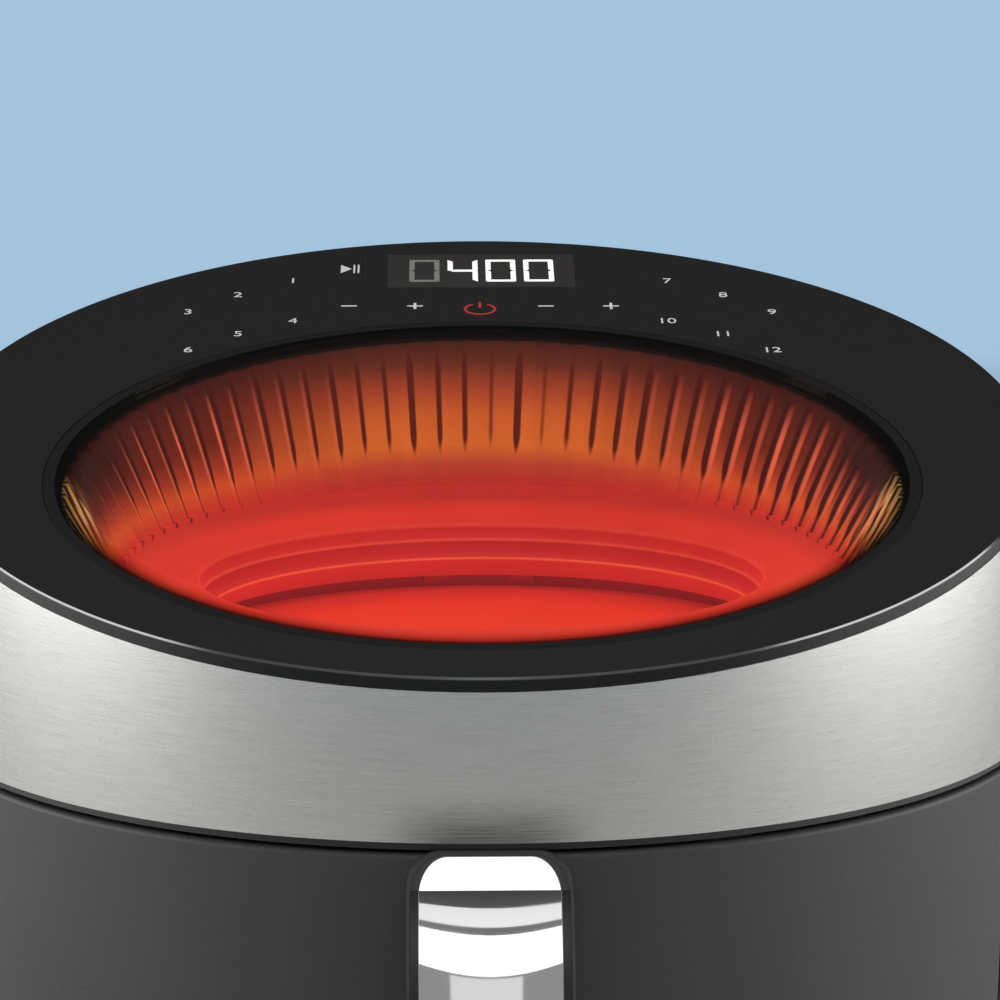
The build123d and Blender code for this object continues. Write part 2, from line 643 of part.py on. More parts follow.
# Ring of lamps behind the bowl: a ring board on the ledge of the bowl and its emitters
LAMPS = 24
LAMP_BOARD_IN_R = STEP_R + 5.2
LAMP_BOARD_OUT_R = SKIRT_BORE_R + 4.2
with BuildPart() as light_ring_board:
    with BuildSketch(level(BOARD_LEDGE_Z)):
        Circle(LAMP_BOARD_OUT_R)
        Circle(LAMP_BOARD_IN_R, mode=Mode.SUBTRACT)
    extrude(amount=BOARD_T)
finish("light_ring_board", light_ring_board.part)

with BuildPart() as light_emitters:
    with BuildSketch(level(BOARD_LEDGE_Z + BOARD_T)):
        with PolarLocations((LAMP_BOARD_IN_R + LAMP_BOARD_OUT_R) / 2, LAMPS):
            Rectangle(3.5, 3.5)
    extrude(amount=1.2)
finish("light_emitters", light_emitters.part)

# Display: lens flush in the panel and the module behind it
LENS_T = 2.0
with BuildPart() as display_lens:
    with BuildSketch(panel_depth(0, DISPLAY_Y)):
        with Locations((DISPLAY_X, 0)):
            RectangleRounded(DISPLAY_W - 2 * SLIP, DISPLAY_L - 2 * SLIP, 2.0 - SLIP)
    extrude(amount=-LENS_T)
finish("display_lens", display_lens.part)

BOARD_DEPTH = PANEL_T + 4.5
with BuildPart() as display_module:
    with BuildSketch(panel_depth(LENS_T, DISPLAY_Y)):
        with Locations((DISPLAY_X, 0)):
            Rectangle(DISPLAY_W - 4.0, DISPLAY_L - 4.0)
    extrude(amount=-(BOARD_DEPTH - LENS_T))
finish("display_module", display_module.part)

# Touch board under the control area, with its spring contacts against the panel
TOUCH_W = 190.0
TOUCH_L = 42.0
TOUCH_Y = DISPLAY_Y - 17.0
TOUCH_BOARD_R = BODY_R - 11.0
KEY_PITCH = 22.0
with BuildPart() as touch_board:
    with BuildSketch(panel_depth(BOARD_DEPTH, TOUCH_Y)):
        Rectangle(TOUCH_W, TOUCH_L)
        with Locations((0, -TOUCH_Y)):
            Circle(TOUCH_BOARD_R, mode=Mode.INTERSECT)
    extrude(amount=-BOARD_T)
    with BuildSketch(panel_depth(BOARD_DEPTH, TOUCH_Y - 12.0)):
        with GridLocations(KEY_PITCH, 1, 8, 1):
            Circle(2.6)
    extrude(amount=BOARD_DEPTH - PANEL_T)
finish("touch_board", touch_board.part)

# Power board on the posts of the seam ring, with its large parts
POWER_Z = SEAM_Z + POST_H
POWER_W = 92.0
POWER_L = 38.0
with BuildPart() as power_board:
    with BuildSketch(level(POWER_Z)):
        with Locations((0, POWER_Y)):
            RectangleRounded(POWER_W, POWER_L, 2.0)
    extrude(amount=BOARD_T)
finish("power_board", power_board.part)

with BuildPart() as transformer:
    with BuildSketch(level(POWER_Z + BOARD_T)):
        with Locations((-26.0, POWER_Y)):
            Rectangle(26.0, 22.0)
    extrude(amount=18.0)
    with BuildSketch(level(POWER_Z + BOARD_T + 4.0)):
        with Locations((-26.0, POWER_Y)):
            RectangleRounded(20.0, 29.0, 4.0)
    extrude(amount=10.0)
finish("transformer", transformer.part)

with BuildPart() as relay:
    with BuildSketch(level(POWER_Z + BOARD_T)):
        with Locations((0.0, POWER_Y)):
            Rectangle(15.0, 19.0)
    extrude(amount=15.0)
    chamfer(relay.faces().sort_by(Axis.Z)[-1].edges(), 0.8)
finish("relay", relay.part)

with BuildPart() as capacitor:
    with BuildSketch(level(POWER_Z + BOARD_T)):
        with Locations((18.0, POWER_Y)):
            Circle(8.0)
    extrude(amount=22.0)
    fillet(capacitor.faces().sort_by(Axis.Z)[-1].edges(), 1.2)
finish("capacitor", capacitor.part)

# Ribbon cable from the touch board down to the power board
RIBBON_W = 16.0
RIBBON_T = 1.0
RIBBON_X = 46.0 - RIBBON_W / 2
touch_low = panel_depth(BOARD_DEPTH + BOARD_T, TOUCH_Y + 6.0).origin
ribbon_low_z = POWER_Z + BOARD_T
with BuildPart() as ribbon_cable:
    with BuildSketch(Plane(origin=(RIBBON_X, AXIS_Y, 0), x_dir=(0, 1, 0), z_dir=(1, 0, 0))):
        with BuildLine():
            run = FilletPolyline((POWER_Y, ribbon_low_z + RIBBON_T / 2), (POWER_Y, ribbon_low_z + 24.0),
                                 (touch_low.Y - AXIS_Y, touch_low.Z - 30.0),
                                 (touch_low.Y - AXIS_Y, touch_low.Z - RIBBON_T), radius=16.0)
            offset(run, RIBBON_T / 2, side=Side.BOTH)
        make_face()
    extrude(amount=RIBBON_W / 2, both=True)
finish("ribbon_cable", ribbon_cable.part)

# Motor bracket: a pressed spider under the deck, its motor, bearings and screws
BRACKET_T = 1.5
bracket_z = MOTOR_Z - BRACKET_T
with BuildPart() as motor_bracket:
    with BuildSketch(level(bracket_z)):
        Circle(50.0)
        with PolarLocations(40.0, 4, start_angle=45):
            Rectangle(84.0, 20.0, align=(Align.MIN, Align.CENTER))
        with PolarLocations(43.0, 4):
            Circle(3.0, mode=Mode.SUBTRACT)
        Circle(BEARING_R + 3.0, mode=Mode.SUBTRACT)
        with PolarLocations(MOTOR_SCREW_R, 4, start_angle=45):
            Circle(SCREW_R + SLIP, mode=Mode.SUBTRACT)
    extrude(amount=BRACKET_T)
finish("motor_bracket", motor_bracket.part)
finish("motor_screws", screws(ring_planes(bracket_z, MOTOR_SCREW_R, (45, 135, 225, 315)),
                              BRACKET_T + SEAM_RING_H + 1.0))

with BuildPart() as motor_housing:
    with BuildSketch(level(MOTOR_Z)):
        Circle(MOTOR_R)
    extrude(amount=MOTOR_H)
    fillet(motor_housing.faces().sort_by(Axis.Z)[-1].edges(), 2.0)
    with BuildSketch(level(MOTOR_Z + BEARING_H + 0.4)):
        Circle(MOTOR_R - MOTOR_SKIN)
    extrude(amount=MOTOR_H - BEARING_H - 0.4 - MOTOR_SKIN, mode=Mode.SUBTRACT)
    with BuildSketch(level(MOTOR_Z)):
        Circle(BEARING_R + BORE_GAP)
    extrude(amount=BEARING_H, mode=Mode.SUBTRACT)
    with BuildSketch(level(MOTOR_Z)):
        Circle(SHAFT_R + 1.0)
    extrude(amount=BEARING_H + 1.0, mode=Mode.SUBTRACT)
finish("motor_housing", motor_housing.part)

with BuildPart() as shaft_bearing:
    with BuildSketch(level(MOTOR_Z)):
        Circle(BEARING_R)
        Circle(SHAFT_R + BORE_GAP, mode=Mode.SUBTRACT)
    extrude(amount=BEARING_H)
finish("shaft_bearing", shaft_bearing.part)

with BuildPart() as motor_rotor:
    with BuildSketch(level(MOTOR_Z + BEARING_H + 1.0)):
        Circle(MOTOR_R - MOTOR_SKIN - 2.0)
        Circle(SHAFT_R, mode=Mode.SUBTRACT)
    extrude(amount=MOTOR_H - BEARING_H - MOTOR_SKIN - 2.0)
finish("motor_rotor", motor_rotor.part)

# Fan shaft from the motor down through the dome, threaded end below the hot fan
SHAFT_LOW_Z = HOT_FAN_Z - 6.0
THREAD_R = 3.0
with BuildPart() as fan_shaft:
    with BuildSketch(level(HOT_FAN_Z)):
        Circle(SHAFT_R)
    extrude(amount=MOTOR_Z + MOTOR_H - MOTOR_SKIN - 1.0 - HOT_FAN_Z)
    with BuildSketch(level(SHAFT_LOW_Z)):
        Circle(THREAD_R)
    extrude(amount=HOT_FAN_Z - SHAFT_LOW_Z)
    chamfer(fan_shaft.edges().group_by(Axis.Z)[0], 0.5)
finish("fan_shaft", fan_shaft.part)

with BuildPart() as fan_nut:
    with BuildSketch(level(HOT_FAN_Z - 4.0)):
        RegularPolygon(5.5, 6)
        Circle(THREAD_R, mode=Mode.SUBTRACT)
    extrude(amount=4.0)
finish("fan_nut", fan_nut.part)

# Hot-air fan: disc, hub and curved blades hanging below the disc
HOT_BLADES = 12
with BuildPart() as hot_air_fan:
    with BuildSketch(level(HOT_FAN_Z + HOT_FAN_H - FAN_SHEET)):
        Circle(HOT_FAN_R)
    extrude(amount=FAN_SHEET)
    with BuildSketch(level(HOT_FAN_Z)):
        Circle(HUB_R)
    extrude(amount=HOT_FAN_H)
    with BuildSketch(level(HOT_FAN_Z)):
        with PolarLocations(0, HOT_BLADES):
            with BuildLine():
                blade = ThreePointArc((34.0, 0.0), (53.0, 6.0), (HOT_FAN_R - 0.5, 21.0))
                offset(blade, FAN_SHEET / 2, side=Side.BOTH)
            make_face()
    extrude(amount=HOT_FAN_H - FAN_SHEET)
    with BuildSketch(level(HOT_FAN_Z)):
        Circle(SHAFT_R)
    extrude(amount=HOT_FAN_H, mode=Mode.SUBTRACT)
finish("hot_air_fan", hot_air_fan.part)

# Cooling fan above the dome, flat blades on a small hub
COOL_BLADES = 9
with BuildPart() as cooling_fan:
    with BuildSketch(level(COOL_FAN_Z)):
        Circle(HUB_R)
    extrude(amount=COOL_FAN_H)
    with BuildSketch(level(COOL_FAN_Z)):
        Circle(COOL_FAN_R - 16.0)
    extrude(amount=FAN_SHEET)
    with BuildSketch(level(COOL_FAN_Z)):
        with PolarLocations(0, COOL_BLADES):
            with Locations((22.0, 0)):
                Rectangle(COOL_FAN_R - 22.0, FAN_SHEET, align=(Align.MIN, Align.CENTER))
    extrude(amount=COOL_FAN_H)
    with BuildSketch(level(COOL_FAN_Z)):
        Circle(SHAFT_R)
    extrude(amount=COOL_FAN_H, mode=Mode.SUBTRACT)
finish("cooling_fan", cooling_fan.part)

# Chamber top: a flat flange on the liner and the dome that holds fan and heater
PROBE_Z = SEAM_Z - 30.0
PROBE_R = 2.0
coil_outer_r = COIL_INNER_R + COIL_STEP * COIL_HALF_TURNS
with BuildPart() as chamber_top:
    with BuildSketch(level(CHAMBER_TOP_Z)):
        add(pan_plan(LINER_OUT))
        Circle(INNER_DOOR_R - 2.0, mode=Mode.INTERSECT)
    extrude(amount=SHEET_T)
    with BuildSketch(level(CHAMBER_TOP_Z)):
        Circle(DOME_R + SHEET_T)
    extrude(amount=DOME_TOP_Z + SHEET_T - CHAMBER_TOP_Z)
    with BuildSketch(level(CHAMBER_TOP_Z)):
        Circle(DOME_R)
    extrude(amount=DOME_TOP_Z - CHAMBER_TOP_Z, mode=Mode.SUBTRACT)
    with BuildSketch(level(DOME_TOP_Z)):
        Circle(SHAFT_R + 1.5)
        with Locations((COIL_INNER_R, -COIL_BEND_R), (-coil_outer_r, -COIL_BEND_R)):
            Circle(COIL_WIRE_R + FIT)
    extrude(amount=SHEET_T, mode=Mode.SUBTRACT)
    with BuildSketch(behind(DOME_R - 4, PROBE_Z)):
        Circle(PROBE_R + SLIP)
    extrude(amount=8.0, mode=Mode.SUBTRACT)
finish("chamber_top", chamber_top.part)

# Chamber liner: floor and wall round the pan, open at the front and the top
PROBE_L = 26.0
with BuildPart() as chamber_liner:
    with BuildSketch(level(LINER_FLOOR_Z)):
        add(pan_plan(LINER_OUT))
        with Locations((0, LINER_FRONT_Y)):
            Rectangle(3 * PAN_HALF_W, 2 * PAN_FRONT_R, align=(Align.CENTER, Align.MAX), mode=Mode.SUBTRACT)
    extrude(amount=CHAMBER_TOP_Z - LINER_FLOOR_Z)
    with BuildSketch(level(LINER_FLOOR_Z + SHEET_T)):
        add(pan_plan(LINER_OUT - SHEET_T))
    extrude(amount=CHAMBER_TOP_Z - LINER_FLOOR_Z, mode=Mode.SUBTRACT)
finish("chamber_liner", chamber_liner.part)

# Mineral wool round the dome, seated on the flange
WOOL_T = 13.0
with BuildPart() as insulation_wool:
    with BuildSketch(level(CHAMBER_TOP_Z + SHEET_T)):
        Circle(DOME_R + SHEET_T + FIT + WOOL_T)
        Circle(DOME_R + SHEET_T + FIT, mode=Mode.SUBTRACT)
        with Locations((0, -DOME_R)):
            Rectangle(44.0, 60.0, mode=Mode.SUBTRACT)
        with Locations((0, DOME_R)):
            Rectangle(16.0, 60.0, mode=Mode.SUBTRACT)
    extrude(amount=DOME_TOP_Z - CHAMBER_TOP_Z - 3.0)
finish("insulation_wool", insulation_wool.part)

# Heater: a flat spiral of half turns whose two ends rise through the dome
leg_top_z = DOME_TOP_Z + SHEET_T + 7.0 - COIL_Z
bend_in = COIL_BEND_R * (1 - cos(radians(45)))
with BuildPart() as heater_coil:
    with BuildLine(level(COIL_Z)) as coil_path:
        Line((COIL_INNER_R, -COIL_BEND_R, leg_top_z), (COIL_INNER_R, -COIL_BEND_R, COIL_BEND_R))
        ThreePointArc((COIL_INNER_R, -COIL_BEND_R, COIL_BEND_R),
                      (COIL_INNER_R, bend_in - COIL_BEND_R, bend_in), (COIL_INNER_R, 0, 0))
        here = COIL_INNER_R
        for half in range(COIL_HALF_TURNS):
            side = 1 if half % 2 == 0 else -1
            there = -side * (COIL_INNER_R + COIL_STEP * (half + 1))
            ThreePointArc((here, 0), ((here + there) / 2, side * abs(here - there) / 2), (there, 0))
            here = there
        ThreePointArc((here, 0, 0), (here, bend_in - COIL_BEND_R, bend_in),
                      (here, -COIL_BEND_R, COIL_BEND_R))
        Line((here, -COIL_BEND_R, COIL_BEND_R), (here, -COIL_BEND_R, leg_top_z))
    with BuildSketch(level(COIL_Z + leg_top_z).shift_origin((COIL_INNER_R, AXIS_Y - COIL_BEND_R,
                                                             COIL_Z + leg_top_z))):
        Circle(COIL_WIRE_R)
    sweep(path=coil_path.wire())
finish("heater_coil", heater_coil.part)

# Heater supports: three straps down the dome wall with an arm under the coil
STRAP_T = 1.2
STRAP_W = 8.0
arm_z = COIL_Z - COIL_WIRE_R - SLIP
strap_r = DOME_R - FIT
with BuildPart() as heater_supports:
    for azimuth in (40.0, 160.0, 280.0):
        with BuildSketch(section(azimuth)):
            with BuildLine():
                Polyline((COIL_INNER_R - 2.0, arm_z - STRAP_T), (strap_r, arm_z - STRAP_T),
                         (strap_r, DOME_TOP_Z - 4.0), (strap_r - STRAP_T, DOME_TOP_Z - 4.0),
                         (strap_r - STRAP_T, arm_z), (COIL_INNER_R - 2.0, arm_z), close=True)
            make_face()
        extrude(amount=STRAP_W / 2, both=True)
finish("heater_supports", heater_supports.part)

# Heater guard: rings and spokes across the mouth of the dome
GUARD_RINGS = (30.0, 55.0, 80.0)
with BuildPart() as heater_guard:
    with BuildSketch(level(CHAMBER_TOP_Z)):
        Circle(DOME_R - FIT)
        Circle(DOME_R - FIT - GUARD_T, mode=Mode.SUBTRACT)
        for radius in GUARD_RINGS:
            Circle(radius + GUARD_T / 2)
            Circle(radius - GUARD_T / 2, mode=Mode.SUBTRACT)
        with PolarLocations(GUARD_RINGS[0], 8):
            Rectangle(DOME_R - FIT - GUARD_T / 2 - GUARD_RINGS[0], GUARD_T, align=(Align.MIN, Align.CENTER))
    extrude(amount=GUARD_T)
finish("heater_guard", heater_guard.part)

# Thermal cut-out on the dome and temperature probe through its rear wall
with BuildPart() as thermal_cutout:
    with BuildSketch(level(DOME_TOP_Z + SHEET_T)):
        with Locations((82.0, 16.0)):
            Circle(9.0)
    extrude(amount=1.0)
    with BuildSketch(level(DOME_TOP_Z + SHEET_T + 1.0)):
        with Locations((82.0, 16.0)):
            Circle(7.0)
    extrude(amount=4.5)
    with BuildSketch(level(DOME_TOP_Z + SHEET_T + 5.5)):
        with Locations((82.0, 11.0), (82.0, 21.0)):
            Rectangle(4.0, 0.8)
    extrude(amount=4.0)
finish("thermal_cutout", thermal_cutout.part)

probe_plane = behind(DOME_R + SHEET_T, PROBE_Z)
with BuildPart() as temperature_probe:
    with BuildSketch(probe_plane.offset(-PROBE_L)):
        Circle(PROBE_R)
    extrude(amount=PROBE_L)
    with BuildSketch(probe_plane):
        RegularPolygon(5.0, 6)
    extrude(amount=3.0)
    with BuildSketch(probe_plane.offset(3.0)):
        Circle(PROBE_R)
    extrude(amount=8.0)
finish("temperature_probe", temperature_probe.part)

# Drawer rails: angle strips on the liner walls, each with a ledge under the pan's rim
RAIL_T = 1.2
RAIL_DROP = 0.4
RAIL_H = 16.0
RAIL_BACK_Y = 40.0
rail_out = PAN_HALF_W + LINER_OUT - SHEET_T - SLIP
rail_in = PAN_HALF_W + 1.6
rail_top_z = PAN_RIM_Z - PAN_RIM_T - RAIL_DROP
for side, name in ((1, "drawer_rail_right"), (-1, "drawer_rail_left")):
    with BuildPart() as drawer_rail:
        with BuildSketch(facing_front(-LINER_FRONT_Y, 0)):
            with BuildLine():
                Polyline((side * rail_in, rail_top_z), (side * rail_out, rail_top_z),
                         (side * rail_out, rail_top_z - RAIL_H),
                         (side * (rail_out - RAIL_T), rail_top_z - RAIL_H),
                         (side * (rail_out - RAIL_T), rail_top_z - RAIL_T),
                         (side * rail_in, rail_top_z - RAIL_T), close=True)
            make_face()
        extrude(amount=LINER_FRONT_Y - RAIL_BACK_Y)
    finish(name, drawer_rail.part)

# Reed sensor under the deck that feels the drawer's magnet
SENSOR_X = 60.0
SENSOR_W = 22.0
SENSOR_H = 6.0
sensor_y = 2.0 - sqrt(INNER_DOOR_R ** 2 - (SENSOR_X + SENSOR_W / 2) ** 2)
with BuildPart() as drawer_sensor:
    with BuildSketch(level(SHELL_TOP_Z)):
        with Locations((SENSOR_X, sensor_y)):
            Rectangle(SENSOR_W, 8.0, align=(Align.CENTER, Align.MIN))
    extrude(amount=-SENSOR_H)
    fillet(drawer_sensor.edges().filter_by(Axis.Z), 1.5)
finish("drawer_sensor", drawer_sensor.part)

# Drawer front: tapered curved shell with rolled edges
DOOR_LOW_Z = SKIRT_TOP_Z + SHUT_GAP
HANDLE_SCREW_DROP = (26.0, 116.0)
with BuildPart() as drawer_front:
    add(turned([(shell_r(DOOR_LOW_Z) - DOOR_T, DOOR_LOW_Z), (shell_r(DOOR_LOW_Z), DOOR_LOW_Z),
                (shell_r(SHUT_TOP_Z), SHUT_TOP_Z), (shell_r(SHUT_TOP_Z) - DOOR_T, SHUT_TOP_Z)],
               azimuth=-DOOR_HALF, arc=2 * DOOR_HALF))
    outer_face = drawer_front.faces().filter_by(GeomType.CONE).sort_by(lambda face: face.area)[-1]
    fillet(outer_face.edges(), DOOR_EDGE_ROUND)
    for drop in HANDLE_SCREW_DROP:
        with BuildSketch(facing_back(BODY_R, SEAM_Z - drop)):
            Circle(SCREW_R + SLIP)
        extrude(amount=BODY_R - INNER_DOOR_R, mode=Mode.SUBTRACT)
finish("drawer_front", drawer_front.part)

# Inner door: a tray behind the drawer front that closes its hollow
INNER_DOOR_T = 1.6
INNER_DOOR_IN = 7.0
inner_low_z = DOOR_LOW_Z + INNER_DOOR_IN
inner_high_z = SHUT_TOP_Z - INNER_DOOR_IN
PAN_SCREW_ZS = (98.0, 122.0)
with BuildPart() as drawer_inner_door:
    add(turned([(INNER_DOOR_R, inner_low_z), (shell_r(inner_low_z) - DOOR_T - SLIP, inner_low_z),
                (shell_r(inner_high_z) - DOOR_T - SLIP, inner_high_z), (INNER_DOOR_R, inner_high_z)],
               azimuth=-INNER_DOOR_HALF, arc=2 * INNER_DOOR_HALF))
    add(turned([(INNER_DOOR_R + INNER_DOOR_T, inner_low_z + INNER_DOOR_T),
                (BODY_R, inner_low_z + INNER_DOOR_T), (BODY_R, inner_high_z - INNER_DOOR_T),
                (INNER_DOOR_R + INNER_DOOR_T, inner_high_z - INNER_DOOR_T)],
               azimuth=1.0 - INNER_DOOR_HALF, arc=2 * INNER_DOOR_HALF - 2.0), mode=Mode.SUBTRACT)
    for height in PAN_SCREW_ZS:
        with BuildSketch(facing_back(BODY_R, height)):
            Circle(SCREW_R + SLIP)
        extrude(amount=BODY_R - INNER_DOOR_R + 2.0, mode=Mode.SUBTRACT)
finish("drawer_inner_door", drawer_inner_door.part)

# Magnet inside the hollow of the door, opposite the sensor
MAGNET_W = 12.0
magnet_y = -sqrt((INNER_DOOR_R + INNER_DOOR_T) ** 2 - (SENSOR_X - MAGNET_W / 2) ** 2) - SLIP
with BuildPart() as door_magnet:
    with BuildSketch(level(inner_high_z - INNER_DOOR_T - FIT)):
        with Locations((SENSOR_X, magnet_y)):
            Rectangle(MAGNET_W, 2.4, align=(Align.CENTER, Align.MAX))
    extrude(amount=-6.0)
finish("door_magnet", door_magnet.part)

# Drawer pan: tapered, rounded at the bottom, with a rolled-out rim that rides on the rails
pan_low_z = PAN_RIM_Z - PAN_RIM_T - PAN_DEPTH


def pan_body(inset):
    """Tapered body of the pan with a rounded foot, inset from the pan's outside."""
    with BuildPart() as body:
        with BuildSketch(level(PAN_RIM_Z - PAN_RIM_T)):
            add(pan_plan(-inset))
        extrude(amount=-(PAN_DEPTH - inset), taper=PAN_TAPER)
        fillet(body.faces().sort_by(Axis.Z)[0].edges(), PAN_FOOT_ROUND - inset)
    return body.part


with BuildPart() as drawer_pan:
    add(pan_body(0))
    add(pan_body(PAN_T), mode=Mode.SUBTRACT)
    with BuildSketch(level(PAN_RIM_Z - PAN_RIM_T)):
        add(pan_plan(PAN_RIM_W))
        add(pan_plan(-PAN_T), mode=Mode.SUBTRACT)
    extrude(amount=PAN_RIM_T)
finish("drawer_pan", drawer_pan.part)


def pan_front_r(z):
    """Radius of the pan's front wall from the body axis at a height."""
    return PAN_FRONT_R - (PAN_RIM_Z - PAN_RIM_T - z) * tan(radians(PAN_TAPER))


# Pan bracket: a box channel between the pan's front wall and the inner door
BRACKET_HALF = 15.0
BRACKET_LOW_Z = 86.0
BRACKET_HIGH_Z = 134.0
channel_t = 1.5
with BuildPart() as pan_bracket:
    add(turned([(pan_front_r(BRACKET_LOW_Z) + SLIP, BRACKET_LOW_Z), (INNER_DOOR_R - SLIP, BRACKET_LOW_Z),
                (INNER_DOOR_R - SLIP, BRACKET_HIGH_Z), (pan_front_r(BRACKET_HIGH_Z) + SLIP, BRACKET_HIGH_Z)],
               azimuth=-BRACKET_HALF, arc=2 * BRACKET_HALF))
    low = BRACKET_LOW_Z + channel_t
    high = BRACKET_HIGH_Z - channel_t
    add(turned([(pan_front_r(low) + SLIP + channel_t, low), (INNER_DOOR_R - SLIP - channel_t, low),
                (INNER_DOOR_R - SLIP - channel_t, high), (pan_front_r(high) + SLIP + channel_t, high)],
               azimuth=-BRACKET_HALF - 1, arc=2 * BRACKET_HALF + 2), mode=Mode.SUBTRACT)
    for height in PAN_SCREW_ZS:
        with BuildSketch(facing_back(BODY_R, height)):
            Circle(SCREW_R + SLIP)
        extrude(amount=BODY_R - INNER_DOOR_R + 3.0, mode=Mode.SUBTRACT)
finish("pan_bracket", pan_bracket.part)

finish("pan_screws", screws(
    [facing_back(INNER_DOOR_R + INNER_DOOR_T, height) for height in PAN_SCREW_ZS],
    INNER_DOOR_T + channel_t + 1.5))

# Handle: side outline with a sloped top, a crease and a long bow, and its chromed face
HANDLE_W = 43.0
HANDLE_TOP = 1.8          # below the seam
HANDLE_CREASE = 9.0
HANDLE_CREASE_OUT = 12.0
HANDLE_MIDDLE = 67.0
HANDLE_T = 13.0
HANDLE_CORNER = 9.0
FACE_W = 41.2
FACE_T = 1.5
FACE_TOP = 2.8
GRIP_GAP_HALF = 34.0
HANDLE_THREAD = 7.0
handle_low = 2 * HANDLE_MIDDLE - HANDLE_TOP
handle_side = Plane(origin=(0, AXIS_Y, SEAM_Z), x_dir=(0, -1, 0), z_dir=(-1, 0, 0))
bow_rise = HANDLE_REACH - HANDLE_CREASE_OUT
bow_half = HANDLE_MIDDLE - HANDLE_CREASE
bow_r = (bow_rise ** 2 + bow_half ** 2) / (2 * bow_rise)
bow_x = BODY_R + HANDLE_REACH - bow_r


def handle_outline(inset):
    """Side outline of the handle, moved inward by inset, closed inside the body."""
    with BuildSketch() as outline:
        with BuildLine():
            Polyline((BODY_R + HANDLE_CREASE_OUT, -HANDLE_CREASE), (BODY_R, -HANDLE_TOP),
                     (BODY_R - 14.0, -HANDLE_TOP), (BODY_R - 14.0, -handle_low),
                     (BODY_R, -handle_low), (BODY_R + HANDLE_CREASE_OUT, HANDLE_CREASE - 2 * HANDLE_MIDDLE))
            ThreePointArc((BODY_R + HANDLE_CREASE_OUT, HANDLE_CREASE - 2 * HANDLE_MIDDLE),
                          (BODY_R + HANDLE_REACH, -HANDLE_MIDDLE),
                          (BODY_R + HANDLE_CREASE_OUT, -HANDLE_CREASE))
        make_face()
        if inset > 0:
            offset(amount=-inset, kind=Kind.INTERSECTION)
    return outline.sketch


def handle_front(width, drop, corner):
    """Upright bar with rounded corners as seen from the front, through the handle."""
    with BuildPart() as bar:
        with BuildSketch(facing_front(BODY_R - 20, SEAM_Z - HANDLE_MIDDLE)):
            RectangleRounded(width, 2 * (HANDLE_MIDDLE - drop), corner)
        extrude(amount=HANDLE_REACH + 40)
    return bar.part


with BuildPart() as handle_face:
    with BuildSketch(handle_side):
        add(handle_outline(0))
        add(handle_outline(FACE_T), mode=Mode.SUBTRACT)
    extrude(amount=FACE_W / 2, both=True)
    add(handle_front(FACE_W, FACE_TOP, HANDLE_CORNER - 1.0), mode=Mode.INTERSECT)
    add(turned([(0, 0), (BODY_R + FIT, 0), (BODY_R + FIT, SEAM_Z), (0, SEAM_Z)]), mode=Mode.SUBTRACT)
finish("handle_face", handle_face.part)

with BuildPart() as handle_recess:
    with BuildSketch(handle_side):
        add(handle_outline(0))
        add(handle_outline(FACE_T + SLIP / 2), mode=Mode.SUBTRACT)
    extrude(amount=FACE_W / 2 + SLIP, both=True)
    add(handle_front(FACE_W + 2 * SLIP, FACE_TOP - SLIP, HANDLE_CORNER - 0.9), mode=Mode.INTERSECT)
with BuildPart() as handle_grip:
    with BuildSketch(handle_side):
        add(handle_outline(0))
    extrude(amount=HANDLE_W / 2, both=True)
    add(handle_front(HANDLE_W, HANDLE_TOP, HANDLE_CORNER), mode=Mode.INTERSECT)
    with BuildSketch(handle_side):
        with BuildLine():
            gap_x = (bow_x + sqrt((bow_r - HANDLE_T) ** 2 - (GRIP_GAP_HALF - 4) ** 2))
            Polyline((gap_x, GRIP_GAP_HALF - 4 - HANDLE_MIDDLE),
                     (BODY_R - 16.0, GRIP_GAP_HALF - HANDLE_MIDDLE),
                     (BODY_R - 16.0, -GRIP_GAP_HALF - HANDLE_MIDDLE),
                     (gap_x, -GRIP_GAP_HALF + 4 - HANDLE_MIDDLE))
            ThreePointArc((gap_x, -GRIP_GAP_HALF + 4 - HANDLE_MIDDLE),
                          (bow_x + bow_r - HANDLE_T, -HANDLE_MIDDLE),
                          (gap_x, GRIP_GAP_HALF - 4 - HANDLE_MIDDLE))
        gap_face = make_face()
        fillet(gap_face.vertices().group_by(Axis.Y)[0], 8.0)
    extrude(amount=HANDLE_W, both=True, mode=Mode.SUBTRACT)
    add(handle_recess.part, mode=Mode.SUBTRACT)
    add(turned([(0, 0), (shell_r(0) + SLIP / 2, 0), (shell_r(SEAM_Z) + SLIP / 2, SEAM_Z), (0, SEAM_Z)]),
        mode=Mode.SUBTRACT)
    for drop in HANDLE_SCREW_DROP:
        with BuildSketch(facing_front(shell_r(SEAM_Z - drop) - DOOR_T, SEAM_Z - drop)):
            Circle(SCREW_R + SLIP)
        extrude(amount=HANDLE_THREAD + DOOR_T + 1.0, mode=Mode.SUBTRACT)
finish("handle_grip", handle_grip.part)

finish("handle_screws", screws(
    [facing_front(shell_r(SEAM_Z - drop) - DOOR_T - SLIP, SEAM_Z - drop)
     for drop in HANDLE_SCREW_DROP], DOOR_T + HANDLE_THREAD))

# Crisper tray: slotted plate with a turned-up rim, on four feet
TRAY_SLOTS = ((28.0, 8, 16.0), (56.0, 14, 20.0), (82.0, 20, 18.0))
with BuildPart() as crisper_tray:
    with BuildSketch(level(TRAY_Z)):
        add(pan_plan(-TRAY_IN))
    extrude(amount=TRAY_RIM_H)
    with BuildSketch(level(TRAY_Z + TRAY_T)):
        add(pan_plan(-TRAY_IN - TRAY_T))
    extrude(amount=TRAY_RIM_H, mode=Mode.SUBTRACT)
    with BuildSketch(level(TRAY_Z)):
        for radius, count, slot in TRAY_SLOTS:
            with PolarLocations(radius, count):
                SlotOverall(slot, 5.0)
    extrude(amount=TRAY_T, mode=Mode.SUBTRACT)
finish("crisper_tray", crisper_tray.part)

